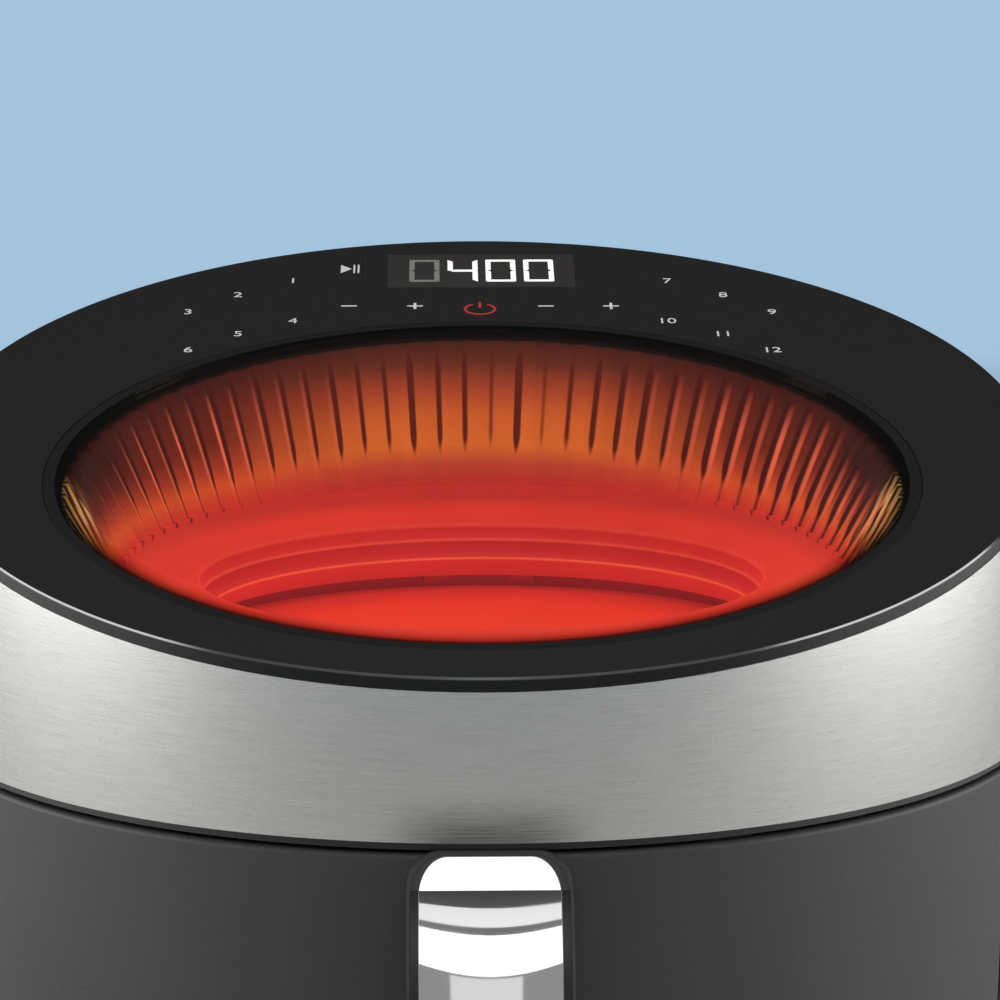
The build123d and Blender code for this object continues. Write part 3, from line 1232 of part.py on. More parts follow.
TRAY_FEET = [(-64.0, 52.0), (64.0, 52.0), (-58.0, -88.0), (58.0, -88.0)]
tray_foot_h = TRAY_Z - pan_low_z - PAN_T - FIT
with BuildPart() as tray_feet:
    with BuildSketch(level(TRAY_Z)):
        with Locations(*TRAY_FEET):
            Circle(5.5)
    extrude(amount=-tray_foot_h)
    chamfer(tray_feet.edges().group_by(Axis.Z)[0], 1.0)
finish("tray_feet", tray_feet.part)
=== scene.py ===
import json
import math

import bpy
import bmesh
from mathutils import Matrix, Vector


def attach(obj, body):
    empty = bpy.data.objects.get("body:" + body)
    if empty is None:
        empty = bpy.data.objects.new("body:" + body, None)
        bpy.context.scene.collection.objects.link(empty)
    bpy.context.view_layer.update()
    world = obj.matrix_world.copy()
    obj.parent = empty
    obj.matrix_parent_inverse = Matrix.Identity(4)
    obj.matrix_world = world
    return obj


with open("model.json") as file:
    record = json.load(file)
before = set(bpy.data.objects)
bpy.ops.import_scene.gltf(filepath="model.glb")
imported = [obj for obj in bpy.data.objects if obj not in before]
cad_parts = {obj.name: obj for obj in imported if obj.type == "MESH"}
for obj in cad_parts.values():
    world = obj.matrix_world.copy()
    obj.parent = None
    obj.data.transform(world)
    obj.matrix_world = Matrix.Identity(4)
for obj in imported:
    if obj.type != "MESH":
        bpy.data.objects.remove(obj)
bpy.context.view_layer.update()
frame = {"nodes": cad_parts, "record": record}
nodes = frame["nodes"]
scene = bpy.context.scene

# Places and sizes that the CAD source also uses, in metres
AXIS_Y = 0.019
SEAM_Z = 0.205
BODY_R = 0.163
TILT = math.radians(13.5)
PANEL_LIFT = 0.0793       # panel's underside over the seam, on the body axis
PANEL_T = 0.0035
PANEL_TOP_Z = SEAM_Z + PANEL_LIFT + PANEL_T / math.cos(TILT)
WINDOW_Y = -0.0287
BEZEL_STEP = 0.0052       # how far the bezel's collar steps inward
SIDE_RIM = 0.0364         # panel and bezel beside the window
END_RIM = 0.0422          # panel and bezel before and behind the window
WINDOW_HALF_W = BODY_R - SIDE_RIM - BEZEL_STEP
WINDOW_HALF_L = (BODY_R - END_RIM - BEZEL_STEP) * math.cos(TILT)
RING_Z = SEAM_Z + 0.0452
RING_Y = WINDOW_Y + 0.0127
RING_HALF_W = BODY_R - 0.0560
RING_HALF_L = BODY_R - 0.0400
RING_TILT = math.radians(2.0)
FLUTES = 84
FLOOR_Z = SEAM_Z + 0.0172

# The handle's chromed face, heights measured down from the seam
CREASE_DROP = 0.009
BOW_DROP = 0.067
BOW_R = 0.0777
FACE_HALF = 0.0184
FACE_DROP = 0.0029
FACE_CORNER = 0.0075


# Colours
def linear(r, g, b):
    """Linear colour from 0 to 255 screen values."""
    out = []
    for value in (r, g, b):
        share = value / 255
        out.append(share / 12.92 if share <= 0.04045 else ((share + 0.055) / 1.055) ** 2.4)
    return (*out, 1.0)


# Camera, fitted to the photograph: turns in radians, places and reach in metres
CAMERA_TURN = -0.01576
CAMERA_DIP = 0.17179
CAMERA_ROLL = -0.00179
CAMERA_TARGET = Vector((0.0054974, AXIS_Y, SEAM_Z + 0.0622708))
CAMERA_REACH = 1.2
SENSOR_MM = 36.0
LENS_MM = 145.71
CLIP_START = 0.05
CLIP_END = 60.0


def set_camera():
    """Camera of the scene; returns its place and its forward, right and up directions."""
    level = math.cos(CAMERA_DIP)
    forward = Vector((-math.sin(CAMERA_TURN) * level, math.cos(CAMERA_TURN) * level,
                      -math.sin(CAMERA_DIP)))
    right = forward.cross(Vector((0, 0, 1))).normalized()
    up = right.cross(forward)
    c, s = math.cos(CAMERA_ROLL), math.sin(CAMERA_ROLL)
    right, up = c * right + s * up, c * up - s * right
    data = bpy.data.cameras.new("camera")
    data.sensor_width = SENSOR_MM
    data.lens = LENS_MM
    camera = bpy.data.objects.new("camera", data)
    scene.collection.objects.link(camera)
    turn = Matrix((right, up, -forward)).transposed()
    place = CAMERA_TARGET - forward * CAMERA_REACH
    camera.matrix_world = Matrix.Translation(place) @ turn.to_4x4()
    data.clip_start = CLIP_START
    data.clip_end = CLIP_END
    scene.camera = camera
    return place, forward, right, up


VIEW = set_camera()

# Sockets of the Mix node for each data type: first input, second input, output
MIX_SOCKETS = {"RGBA": (6, 7, 2), "VECTOR": (4, 5, 1)}
NOISE_RANGE = (0.3, 0.7)          # where nearly all values of a noise lie
SOFT = 2.0                        # detail of the plain noises
INNER_FADE = 0.1                  # slope over which a face counts as facing inward


# Node helpers
class Nodes:
    """A node tree with short calls for the nodes that this scene uses."""

    def __init__(self, tree):
        self.tree = tree

    def node(self, kind, **values):
        made = self.tree.nodes.new(kind)
        for key, value in values.items():
            setattr(made, key, value)
        return made

    def link(self, source, target):
        self.tree.links.new(source, target)

    def feed(self, socket, value):
        if hasattr(value, "is_output"):
            self.link(value, socket)
        else:
            socket.default_value = value

    def split(self, vector):
        made = self.node("ShaderNodeSeparateXYZ")
        self.link(vector, made.inputs[0])
        return made.outputs

    def join(self, x, y, z):
        made = self.node("ShaderNodeCombineXYZ")
        for socket, value in zip(made.inputs, (x, y, z)):
            self.feed(socket, value)
        return made.outputs[0]

    def math(self, operation, *values, clamp=False):
        made = self.node("ShaderNodeMath", operation=operation, use_clamp=clamp)
        for socket, value in zip(made.inputs, values):
            self.feed(socket, value)
        return made.outputs[0]

    def product(self, first, *others):
        for value in others:
            first = self.math("MULTIPLY", first, value)
        return first

    def length(self, a, b):
        """Length of the diagonal over two sides."""
        return self.math("SQRT", self.math("ADD", self.product(a, a), self.product(b, b)))

    def between(self, share, first, second):
        return self.math("MULTIPLY_ADD", share, second - first, first)

    def rescale(self, value, low, high, to_low=0.0, to_high=1.0, smooth=False):
        kind = "SMOOTHSTEP" if smooth else "LINEAR"
        made = self.node("ShaderNodeMapRange", interpolation_type=kind)
        for socket, given in zip(made.inputs, (value, low, high, to_low, to_high)):
            self.feed(socket, given)
        return made.outputs[0]

    def mix(self, share, first, second, data_type="RGBA"):
        first_at, second_at, out_at = MIX_SOCKETS[data_type]
        made = self.node("ShaderNodeMix", data_type=data_type)
        self.feed(made.inputs[0], share)
        self.feed(made.inputs[first_at], first)
        self.feed(made.inputs[second_at], second)
        return made.outputs[out_at]

    def noise(self, vector, scale, detail=SOFT, rough=0.5):
        made = self.node("ShaderNodeTexNoise")
        self.link(vector, made.inputs["Vector"])
        made.inputs["Scale"].default_value = scale
        made.inputs["Detail"].default_value = detail
        made.inputs["Roughness"].default_value = rough
        return made.outputs["Fac"]

    def uneven(self, noise, low, high):
        """A noise spread between two values."""
        return self.rescale(noise, *NOISE_RANGE, low, high)

    def ramp(self, value, stops):
        made = self.node("ShaderNodeValToRGB")
        self.link(value, made.inputs[0])
        elements = made.color_ramp.elements
        while len(elements) < len(stops):
            elements.new(0.5)
        for element, (place, colour) in zip(elements, stops):
            element.position = place
            element.color = colour
        return made.outputs[0]


class Net(Nodes):
    """A material built on one Principled BSDF."""

    SOCKETS = {"colour": "Base Color", "metal": "Metallic", "rough": "Roughness", "ior": "IOR",
               "level": "Specular IOR Level", "glow": "Emission Color",
               "power": "Emission Strength", "through": "Transmission Weight",
               "turned": "Anisotropic", "normal": "Normal", "tangent": "Tangent"}

    def __init__(self, name):
        self.mat = bpy.data.materials.new(name)
        self.mat.use_nodes = True
        super().__init__(self.mat.node_tree)
        self.bsdf = self.tree.nodes["Principled BSDF"]

    def set(self, **values):
        for key, value in values.items():
            self.feed(self.bsdf.inputs[self.SOCKETS[key]], value)
        return self.mat

    def position(self):
        return self.node("ShaderNodeTexCoord").outputs["Object"]

    def bump(self, height, distance):
        made = self.node("ShaderNodeBump")
        self.link(height, made.inputs["Height"])
        made.inputs["Distance"].default_value = distance
        made.inputs["Strength"].default_value = 1.0
        self.set(normal=made.outputs[0])

    def around(self):
        """Place measured from the body axis, and the distance from it."""
        x, y, z = self.split(self.position())
        y_body = self.math("SUBTRACT", y, AXIS_Y)
        return x, y_body, z, self.length(x, y_body)

    def facing_in(self, x, y_body, radius):
        """1 on faces that look up or to the body axis, 0 on the others."""
        nx, ny, nz = self.split(self.node("ShaderNodeTexCoord").outputs["Normal"])
        outward = self.math("ADD", self.product(nx, x), self.product(ny, y_body))
        outward = self.math("DIVIDE", outward, radius)
        return self.rescale(self.math("SUBTRACT", nz, outward), 0.0, INNER_FADE)


def shaded_pair(colour, down, up):
    """A darker and a lighter version of a colour."""
    return [tuple(min(1.0, channel * by) for channel in colour[:3]) + (1.0,) for by in (down, up)]


FINE_SHARE = 0.6                  # of a plastic's fine grain in its shade
PATCH_SCALE = 14.0
GRAIN_ROUGH_VARY = 0.05


def grained(name, colour, rough, grain=900.0, depth=0.00006, level=0.5, vary=0.12):
    """Moulded plastic with a fine grain and slight changes of shade."""
    net = Net(name)
    place = net.position()
    fine = net.noise(place, grain)
    wide = net.noise(place, PATCH_SCALE)
    shade = net.math("MULTIPLY_ADD", fine, FINE_SHARE, net.product(wide, 1.0 - FINE_SHARE))
    dark, light = shaded_pair(colour, 1 - vary, 1 + vary)
    net.set(colour=net.mix(shade, dark, light), level=level,
            rough=net.uneven(fine, rough - GRAIN_ROUGH_VARY, rough + GRAIN_ROUGH_VARY))
    net.bump(fine, depth)
    return net.mat


STREAK = 0.02                     # how much finer a streak is across than along
METAL_DETAIL = 3.0
METAL_DARK = 0.85
METAL_ROUGH_VARY = 0.06
METAL_BUMP = 0.00001


def metal(name, colour, rough, streak=None, scale=700.0):
    """Bare metal, with streaks stretched along one axis where streak names it."""
    net = Net(name)
    place = net.join(*(net.product(value, STREAK if axis == streak else 1)
                       for axis, value in zip("xyz", net.split(net.position()))))
    fine = net.noise(place, scale, METAL_DETAIL)
    dark, light = shaded_pair(colour, METAL_DARK, 1)
    net.set(colour=net.mix(fine, dark, light), metal=1.0,
            rough=net.uneven(fine, rough - METAL_ROUGH_VARY, rough + METAL_ROUGH_VARY))
    net.bump(fine, METAL_BUMP)
    return net.mat


# Tint of the window glass from its middle, 0, to its rim, 1
GLASS_TINT = [(0.0, (1, 1, 1, 1)), (0.945, (1, 1, 1, 1)), (0.975, (0.5, 0.36, 0.26, 1)),
              (1.0, (0.01, 0.01, 0.01, 1))]
GLASS_SMEAR = 9.0
GLASS_ROUGH = 0.02
GLASS_IOR = 1.2


def glass_mat():
    """Clear glass with a printed rim that fades in towards its edge."""
    net = Net("clear_glass")
    x, y_body, z, radius = net.around()
    across = net.math("DIVIDE", x, WINDOW_HALF_W)
    along = net.math("DIVIDE", net.math("SUBTRACT", y_body, WINDOW_Y), WINDOW_HALF_L)
    smear = net.noise(net.position(), GLASS_SMEAR)
    return net.set(colour=net.ramp(net.length(across, along), GLASS_TINT), through=1.0,
                   ior=GLASS_IOR, level=0.5, rough=net.uneven(smear, 0.0, GLASS_ROUGH))


LINES_AROUND = 2.6                # streaks of the brushing for each radian round the body
LINES_UP = 1500.0                 # and for each metre of height
LINES_NOISE = (3.0, 4.0, 0.7)     # scale, detail and roughness
STEEL_TONES = [(0.3, linear(208, 207, 203)), (0.7, linear(228, 227, 223))]
STEEL_PAINTED_SHADE = linear(96, 95, 92)
STEEL_ROUGH = (0.26, 0.3)
STEEL_BUMP = 0.000002
STEEL_TURNED = 0.75
SHADE_FRONT = (0.0, -0.05)        # the soft dark reflection starts and is full at this depth
SHADE_ASIDE = (0.034, 0.008)      # at this distance to the side
SHADE_UP = (SEAM_Z + 0.015, SEAM_Z)
SHADE_LINES = (0.3, 0.6, 1.0, 0.6)


def steel_band_mat():
    """Steel brushed round the body: long streaks in angle, fine lines in height, and painted shade
    as a dark reflection of the handle at the front.
    """
    net = Net("band_steel")
    x, y_body, z, radius = net.around()
    angle = net.math("ARCTAN2", y_body, x)
    place = net.join(net.product(angle, LINES_AROUND), net.product(z, LINES_UP), 0.0)
    lines = net.noise(place, *LINES_NOISE)
    # Painted shade: a dark reflection and shadow of the handle on the steel's front centre,
    # strongest at the seam
    shaded = net.product(net.rescale(y_body, *SHADE_FRONT),
                         net.rescale(net.math("ABSOLUTE", x), *SHADE_ASIDE, smooth=True),
                         net.rescale(z, *SHADE_UP, smooth=True),
                         net.rescale(lines, *SHADE_LINES))
    net.bump(lines, STEEL_BUMP)
    tangent = net.node("ShaderNodeTangent", direction_type="RADIAL", axis="Z")
    return net.set(colour=net.mix(shaded, net.ramp(lines, STEEL_TONES), STEEL_PAINTED_SHADE), metal=1.0,
                   rough=net.uneven(lines, *STEEL_ROUGH), turned=STEEL_TURNED,
                   tangent=tangent.outputs[0])


def plane_depth(net, y_body, z):
    """Height below the panel's face at a point, in metres."""
    face = net.math("MULTIPLY_ADD", y_body, math.tan(TILT), PANEL_TOP_Z)
    return net.math("SUBTRACT", face, z)


def lean(net, x, y_body, radius, rise):
    """Shading normal that points away from the body axis and up by an angle."""
    out_x = net.math("DIVIDE", x, radius)
    out_y = net.math("DIVIDE", y_body, radius)
    level = net.math("COSINE", rise)
    return net.join(net.product(out_x, level), net.product(out_y, level), net.math("SINE", rise))


PANEL_GRAIN = 1400.0
PANEL_TONES = (linear(28, 28, 27), linear(32, 32, 31))
PANEL_SIDE_SHADE = linear(12, 12, 12)
RIM_HIGHLIGHT_TONE = linear(122, 122, 122)
RIM_RISE = 0.42                   # angle to which the polished edge's shading normal leans, for its painted highlight
RIM_OUT = (BODY_R - 0.0009, BODY_R - 0.0007)
RIM_DOWN = (0.0006, 0.0004)
SIDE_OUT = (BODY_R - 0.0006, BODY_R - 0.0005)
SIDE_DOWN = (0.0006, 0.0009)
PANEL_ROUGH = 0.38
RIM_ROUGH = 0.15
PANEL_LEVEL = 0.35


def panel_mat():
    """Satin black panel with a painted highlight on its rounded edge, a lighter metallic tone under
    a leaning shading normal, and painted shade darkening its side.
    """
    net = Net("panel_black")
    x, y_body, z, radius = net.around()
    depth = plane_depth(net, y_body, z)
    fine = net.noise(net.position(), PANEL_GRAIN)
    # Painted highlight on the rounded edge and painted shade on the side wall
    rim = net.product(net.rescale(radius, *RIM_OUT), net.rescale(depth, *RIM_DOWN))
    side = net.product(net.rescale(radius, *SIDE_OUT), net.rescale(depth, *SIDE_DOWN))
    tone = net.mix(side, net.mix(fine, *PANEL_TONES), PANEL_SIDE_SHADE)
    geometry = net.node("ShaderNodeNewGeometry").outputs["Normal"]
    polished = lean(net, x, y_body, radius, RIM_RISE)
    return net.set(colour=net.mix(rim, tone, RIM_HIGHLIGHT_TONE), metal=rim, level=PANEL_LEVEL,
                   rough=net.between(rim, PANEL_ROUGH, RIM_ROUGH),
                   normal=net.mix(rim, geometry, polished, "VECTOR"))


CROWN_REACH = 0.017               # height over which the crown grows below the crease
CROWN_GROWTH = 0.45
CROWN_DROP = 0.0034               # how far the reflections sag at the face's sides
CROWN_HALF = 0.018
BOW_LEAN = 0.049
CREASE_FADE = 0.0002
TOP_RISE = math.radians(37)       # the short slope above the crease
SIDE_CURVE = 0.2
BORDER_FADE = (FACE_CORNER - 0.0002, FACE_CORNER + 0.0001)
BORDER_ROUGH = 0.3
CHROME_TONE = linear(232, 232, 233)
BORDER_TONE = linear(20, 20, 21)
CHROME_SMEAR = 60.0
CHROME_ROUGH = (0.03, 0.06)


def chrome_mat():
    """Chromed handle face with a black border; its bow reflects as a smooth crowned surface."""
    net = Net("handle_chrome")
    x, y, z = net.split(net.position())
    drop = net.math("SUBTRACT", SEAM_Z, z)
    aside = net.math("ABSOLUTE", x)
    crown = net.rescale(drop, CREASE_DROP, CREASE_DROP + CROWN_REACH)
    crown = net.product(net.math("POWER", crown, CROWN_GROWTH), CROWN_DROP,
                        net.math("POWER", net.math("DIVIDE", aside, CROWN_HALF), 2.0))
    rise = net.math("SUBTRACT", BOW_DROP, net.math("ADD", drop, crown))
    rise = net.math("ARCSINE", net.math("DIVIDE", rise, BOW_R))
    rise = net.math("ADD", rise, BOW_LEAN)
    above = net.rescale(drop, CREASE_DROP + CREASE_FADE, CREASE_DROP)
    rise = net.math("ADD", net.product(rise, net.math("SUBTRACT", 1.0, above)),
                    net.product(above, TOP_RISE))
    normal = net.join(net.math("DIVIDE", x, SIDE_CURVE),
                      net.product(net.math("COSINE", rise), -1.0), net.math("SINE", rise))
    unit = net.node("ShaderNodeVectorMath", operation="NORMALIZE")
    net.link(normal, unit.inputs[0])
    corner_x = net.math("SUBTRACT", aside, FACE_HALF - FACE_CORNER)
    corner_z = net.math("SUBTRACT", FACE_DROP + FACE_CORNER, drop)
    out = net.length(net.math("MAXIMUM", corner_x, 0.0), net.math("MAXIMUM", corner_z, 0.0))
    border = net.rescale(out, *BORDER_FADE)
    smear = net.noise(net.position(), CHROME_SMEAR)
    return net.set(colour=net.mix(border, CHROME_TONE, BORDER_TONE), normal=unit.outputs[0],
                   metal=net.math("SUBTRACT", 1.0, border),
                   rough=net.math("ADD", net.uneven(smear, *CHROME_ROUGH),
                                  net.product(border, BORDER_ROUGH)))


# Painted light: colours that the flutes, which are no lamp, glow in from the ring, 0, up to the
# window, 1, at the back and at the sides
BACK_LIGHT_TONES = [(0.0, linear(184, 44, 38)), (0.1, linear(186, 66, 42)), (0.22, linear(216, 102, 40)),
              (0.4, linear(206, 94, 38)), (0.58, linear(164, 66, 36)), (0.74, linear(96, 44, 26)),
              (0.9, linear(46, 22, 14)), (1.0, linear(22, 12, 9))]
SIDE_LIGHT_TONES = [(0.0, linear(200, 48, 38)), (0.14, linear(208, 78, 36)), (0.26, linear(160, 54, 30)),
              (0.42, linear(104, 34, 20)), (0.65, linear(80, 26, 15)), (0.85, linear(42, 14, 9)),
              (1.0, linear(18, 7, 5))]
# Painted hot light of the streaks in front
HOT_LIGHT_TONES = [(0.2, linear(226, 130, 60)), (0.9, linear(246, 230, 156))]
# Painted shade in the grooves between the ribs
GROOVE_SHADE_BACK = linear(74, 24, 12)
GROOVE_SHADE_SIDE = linear(44, 12, 9)
# Painted highlight of the slivers and the painted shade band before them
SLIVER_HIGHLIGHT_TONE = linear(230, 98, 66)
SHADE_BAND_TONE = linear(28, 8, 6)
COPPER_TONE = linear(60, 24, 12)
FLUTES_PER_CHANCE = 7.0           # flutes over which the chance value changes

# Turns from the back, in radians, and heights from ring to window over which each look fades in
BESIDE = (0.28, 0.8)
FLUTE_LOW = (0.08, 0.3)
FLUTE_HIGH = (0.95, 0.7)
RIB_EDGE = (-1.25, -0.8)          # cosine at a rib's edge, near its ends and at mid height
RIB_BEND = 0.3
RIB_NARROW = (0.3, 1.0)
RIB_NARROW_BY = 0.35
RIB_SOFT = 0.12
SLIVER_SHIFT = 2.0
SLIVER_EDGE = (0.72, 0.95)
SLIVER_LOW = (0.06, 0.25)
SLIVER_HIGH = (0.8, 0.5)
SLIVER_CHANCE = (0.3, 0.6, 0.4, 1.0)
SHADE_BAND_START = (1.05, 1.3)
SHADE_BAND_STOP = (1.56, 1.48)
SHADE_BAND_UP = (0.3, 0.62)
COMB_LINES = 3.0                  # streaks for each flute
COMB_SLANT = 16.0
COMB_EDGE = (-0.4, 0.4)
HOT_START = (1.49, 1.6)
HOT_UP = (0.1, 0.5)
GLOW_UNEVEN = (0.9, 1.03)


def reflector_mat():
    """Copper flutes glowing with painted light, though they are no lamp: broad orange ribs at the
    back, highlight slivers at the sides.
    """
    net = Net("painted_light_flutes")
    x, y_body, z, radius = net.around()
    from_ring = net.math("SUBTRACT", y_body, RING_Y)
    ring = net.math("MULTIPLY_ADD", from_ring, math.tan(RING_TILT), RING_Z)
    low = net.math("SUBTRACT", z, ring)
    share = net.math("ADD", low, plane_depth(net, y_body, z))
    share = net.math("DIVIDE", low, share, clamp=True)
    across = net.math("DIVIDE", x, net.between(share, RING_HALF_W, WINDOW_HALF_W))
    along = net.math("SUBTRACT", y_body, net.between(share, RING_Y, WINDOW_Y))
    along = net.math("DIVIDE", along, net.between(share, RING_HALF_L, WINDOW_HALF_L))
    turn = net.math("ARCTAN2", across, along)
    away = net.math("ABSOLUTE", turn)
    flute = net.math("COSINE", net.product(turn, FLUTES))
    chance = net.join(net.product(turn, FLUTES / FLUTES_PER_CHANCE), 0.0, 0.0)
    chance = net.noise(chance, 1.0, 1.0)

    # Painted light on the ribs and painted shade in the grooves between them
    beside = net.rescale(away, *BESIDE)
    base = net.mix(beside, net.ramp(share, BACK_LIGHT_TONES), net.ramp(share, SIDE_LIGHT_TONES))
    tall = net.product(net.rescale(share, *FLUTE_LOW, smooth=True),
                       net.rescale(share, *FLUTE_HIGH, smooth=True))
    edge = net.math("ADD", net.between(tall, *RIB_EDGE),
                    net.product(net.uneven(chance, -RIB_BEND, RIB_BEND), tall))
    edge = net.math("ADD", edge, net.product(net.rescale(away, *RIB_NARROW), RIB_NARROW_BY))
    lit = net.rescale(net.math("SUBTRACT", flute, edge), -RIB_SOFT, RIB_SOFT)
    colour = net.mix(lit, net.mix(beside, GROOVE_SHADE_BACK, GROOVE_SHADE_SIDE), base)

    # Painted highlights as thin bright slivers at the sides, painted shade in the dark part before
    # them and painted hot light in the streaks in front
    sliver_highlight = net.math("COSINE", net.math("ADD", net.product(away, FLUTES), SLIVER_SHIFT))
    sliver_highlight = net.product(net.rescale(sliver_highlight, *SLIVER_EDGE), beside,
                         net.rescale(share, *SLIVER_LOW), net.rescale(share, *SLIVER_HIGH),
                         net.rescale(chance, *SLIVER_CHANCE))
    colour = net.mix(sliver_highlight, colour, SLIVER_HIGHLIGHT_TONE)
    shade_band = net.product(net.rescale(away, *SHADE_BAND_START, smooth=True),
                        net.rescale(away, *SHADE_BAND_STOP), net.rescale(share, *SHADE_BAND_UP))
    colour = net.mix(shade_band, colour, SHADE_BAND_TONE)
    comb = net.math("MULTIPLY_ADD", away, COMB_LINES * FLUTES, net.product(share, COMB_SLANT))
    comb = net.rescale(net.math("COSINE", comb), *COMB_EDGE)
    hot = net.product(net.rescale(away, *HOT_START, smooth=True),
                      net.rescale(share, *HOT_UP), comb)
    colour = net.mix(hot, colour, net.ramp(share, HOT_LIGHT_TONES))
    # The painted light glows only from faces that look inward or up
    power = net.product(net.uneven(chance, *GLOW_UNEVEN), net.facing_in(x, y_body, radius))
    return net.set(colour=COPPER_TONE, metal=0.6, rough=0.4, glow=colour, power=power)


# Painted light: colours that the bowl, which is no lamp, glows in from its floor, 0, up to its lip,
# 1, with painted highlights at its steps and painted shade in the band under the lip; and of the
# floor from its middle out
BOWL_H = 0.028
BOWL_LIGHT_TONES = [(0.0, linear(112, 20, 26)), (0.15, linear(124, 24, 28)), (0.17, linear(184, 38, 36)),
              (0.37, linear(196, 42, 38)), (0.395, linear(236, 92, 60)),
              (0.415, linear(198, 42, 38)), (0.46, linear(186, 36, 36)),
              (0.58, linear(168, 30, 34)), (0.6, linear(222, 70, 50)), (0.625, linear(196, 42, 38)),
              (0.73, linear(182, 36, 34)), (0.765, linear(214, 60, 46)), (0.8, linear(212, 50, 38)),
              (0.9, linear(212, 50, 37)), (1.0, linear(180, 42, 36))]
BOWL_BASE = linear(120, 16, 14)
BOWL_CLOUD = 22.0
BOWL_COMB = 2.0                   # streaks for each flute
BOWL_COMB_EDGE = (-0.2, 0.6)
# Painted streaks of hot light high on the bowl's sides
BOWL_STREAK_TURN = (1.5, 1.75)
BOWL_STREAK_UP = (0.8, 0.95)
BOWL_STREAK_SHARE = 0.8
BOWL_LIGHT_STREAK = linear(232, 140, 70)
DISC_R = 0.095
# Painted light of the floor, fading to painted shade at its edge
DISC_LIGHT_TONES = [(0.0, linear(226, 60, 38)), (0.75, linear(222, 54, 36)), (0.9, linear(200, 44, 34)),
              (1.0, linear(140, 26, 28))]
DISC_BASE = linear(130, 20, 16)
DISC_CLOUD = 16.0
DISC_UNEVEN = (0.86, 0.95)
GLOW_ROUGH = 0.35


def glowing(net, around, base, colour, cloud_scale, uneven):
    """Enamel that glows with painted light in a colour on its inner faces, slightly uneven."""
    x, y_body, z, radius = around
    cloud = net.noise(net.position(), cloud_scale)
    return net.set(colour=base, rough=GLOW_ROUGH, glow=colour,
                   power=net.product(net.uneven(cloud, *uneven), net.facing_in(x, y_body, radius)))


def bowl_mat():
    """Red bowl glowing with painted light, with painted highlights as bright lines at its steps and
    a painted shade band under the lip.
    """
    net = Net("painted_light_bowl")
    around = net.around()
    x, y_body, z, radius = around
    low = net.rescale(z, FLOOR_Z, FLOOR_Z + BOWL_H)
    across = net.math("DIVIDE", x, RING_HALF_W)
    along = net.math("DIVIDE", net.math("SUBTRACT", y_body, RING_Y), RING_HALF_L)
    turn = net.math("ARCTAN2", across, along)
    comb = net.math("COSINE", net.product(turn, BOWL_COMB * FLUTES))
    streak = net.rescale(net.math("ABSOLUTE", turn), *BOWL_STREAK_TURN, smooth=True)
    streak = net.product(streak, net.rescale(low, *BOWL_STREAK_UP),
                         net.rescale(comb, *BOWL_COMB_EDGE), BOWL_STREAK_SHARE)
    red = net.mix(streak, net.ramp(low, BOWL_LIGHT_TONES), BOWL_LIGHT_STREAK)
    return glowing(net, around, BOWL_BASE, red, BOWL_CLOUD, GLOW_UNEVEN)


def floor_mat():
    """Floor of the bowl, glowing with painted light, brightest in the middle."""
    net = Net("painted_light_floor")
    around = net.around()
    red = net.ramp(net.rescale(around[-1], 0.0, DISC_R), DISC_LIGHT_TONES)
    return glowing(net, around, DISC_BASE, red, DISC_CLOUD, DISC_UNEVEN)


# Plastics: colour, roughness, grain's scale and depth, specular level, change of shade.
# Metals: colour, roughness, axis of the streaks, scale.
MATS = {
    "black_satin": panel_mat(),
    "bezel_black": grained("bezel_black", linear(30, 31, 31), 0.5, 1400.0, 0.00001, 0.12, 0.05),
    "brushed_steel": steel_band_mat(),
    "body_black": grained("body_grain", linear(64, 63, 64), 0.5, 1100.0, 0.00006, 0.4, 0.3),
    "seam_grey": grained("seam_grey", linear(30, 30, 31), 0.45, 1200.0, 0.00003),
    "chrome": chrome_mat(),
    "glass": glass_mat(),
    "copper_glow": reflector_mat(),
    "red_glow": bowl_mat(),
    "floor_glow": floor_mat(),
    "lens_black": grained("lens_black", linear(52, 51, 49), 0.25, 1400.0, 0.000004, 0.4, 0.03),
    "chamber_steel": metal("chamber_sheet", linear(176, 176, 172), 0.38, "z"),
    "nonstick": grained("nonstick", linear(50, 50, 52), 0.42, 1100.0, 0.00003, 0.5, 0.2),
    "zinc": metal("zinc_plate", linear(186, 186, 182), 0.34, "x"),
    "heater": metal("heater_sheath", linear(92, 88, 84), 0.5, None, 300.0),
    "wool": grained("mineral_wool", linear(196, 188, 160), 0.95, 260.0, 0.0008, 0.1, 0.25),
    "board": grained("board_green", linear(28, 96, 56), 0.4, 500.0, 0.00002),
    "rubber": grained("soft_rubber", linear(30, 30, 30), 0.7, 700.0, 0.00006, 0.3, 0.2),
    "silicone": grained("silicone_grey", linear(70, 70, 70), 0.6, 700.0, 0.00004, 0.3),
    "white_plastic": grained("natural_plastic", linear(214, 213, 208), 0.45, 900.0, 0.00003),
    "yellow_plastic": grained("winding_tape", linear(206, 166, 52), 0.4, 300.0, 0.0001),
    "blue_plastic": grained("relay_case", linear(38, 70, 140), 0.4, 900.0, 0.00003),
    "magnet": metal("magnet_nickel", linear(132, 132, 134), 0.4),
    "lamp": grained("lamp_package", linear(226, 214, 170), 0.4, 900.0, 0.00003),
}
slot_of = {entry["node"]: entry["material_slot"] for entry in frame["record"]["subparts"]}

# Nodes whose look differs from their slot's
OWN = {"bowl_floor_disc": "floor_glow", "window_bezel": "bezel_black",
       "display_lens": "black_satin"}
for name, obj in nodes.items():
    mat = MATS[OWN.get(name, slot_of[name])]
    if obj.data.materials:
        for index in range(len(obj.data.materials)):
            obj.data.materials[index] = mat
    else:
        obj.data.materials.append(mat)


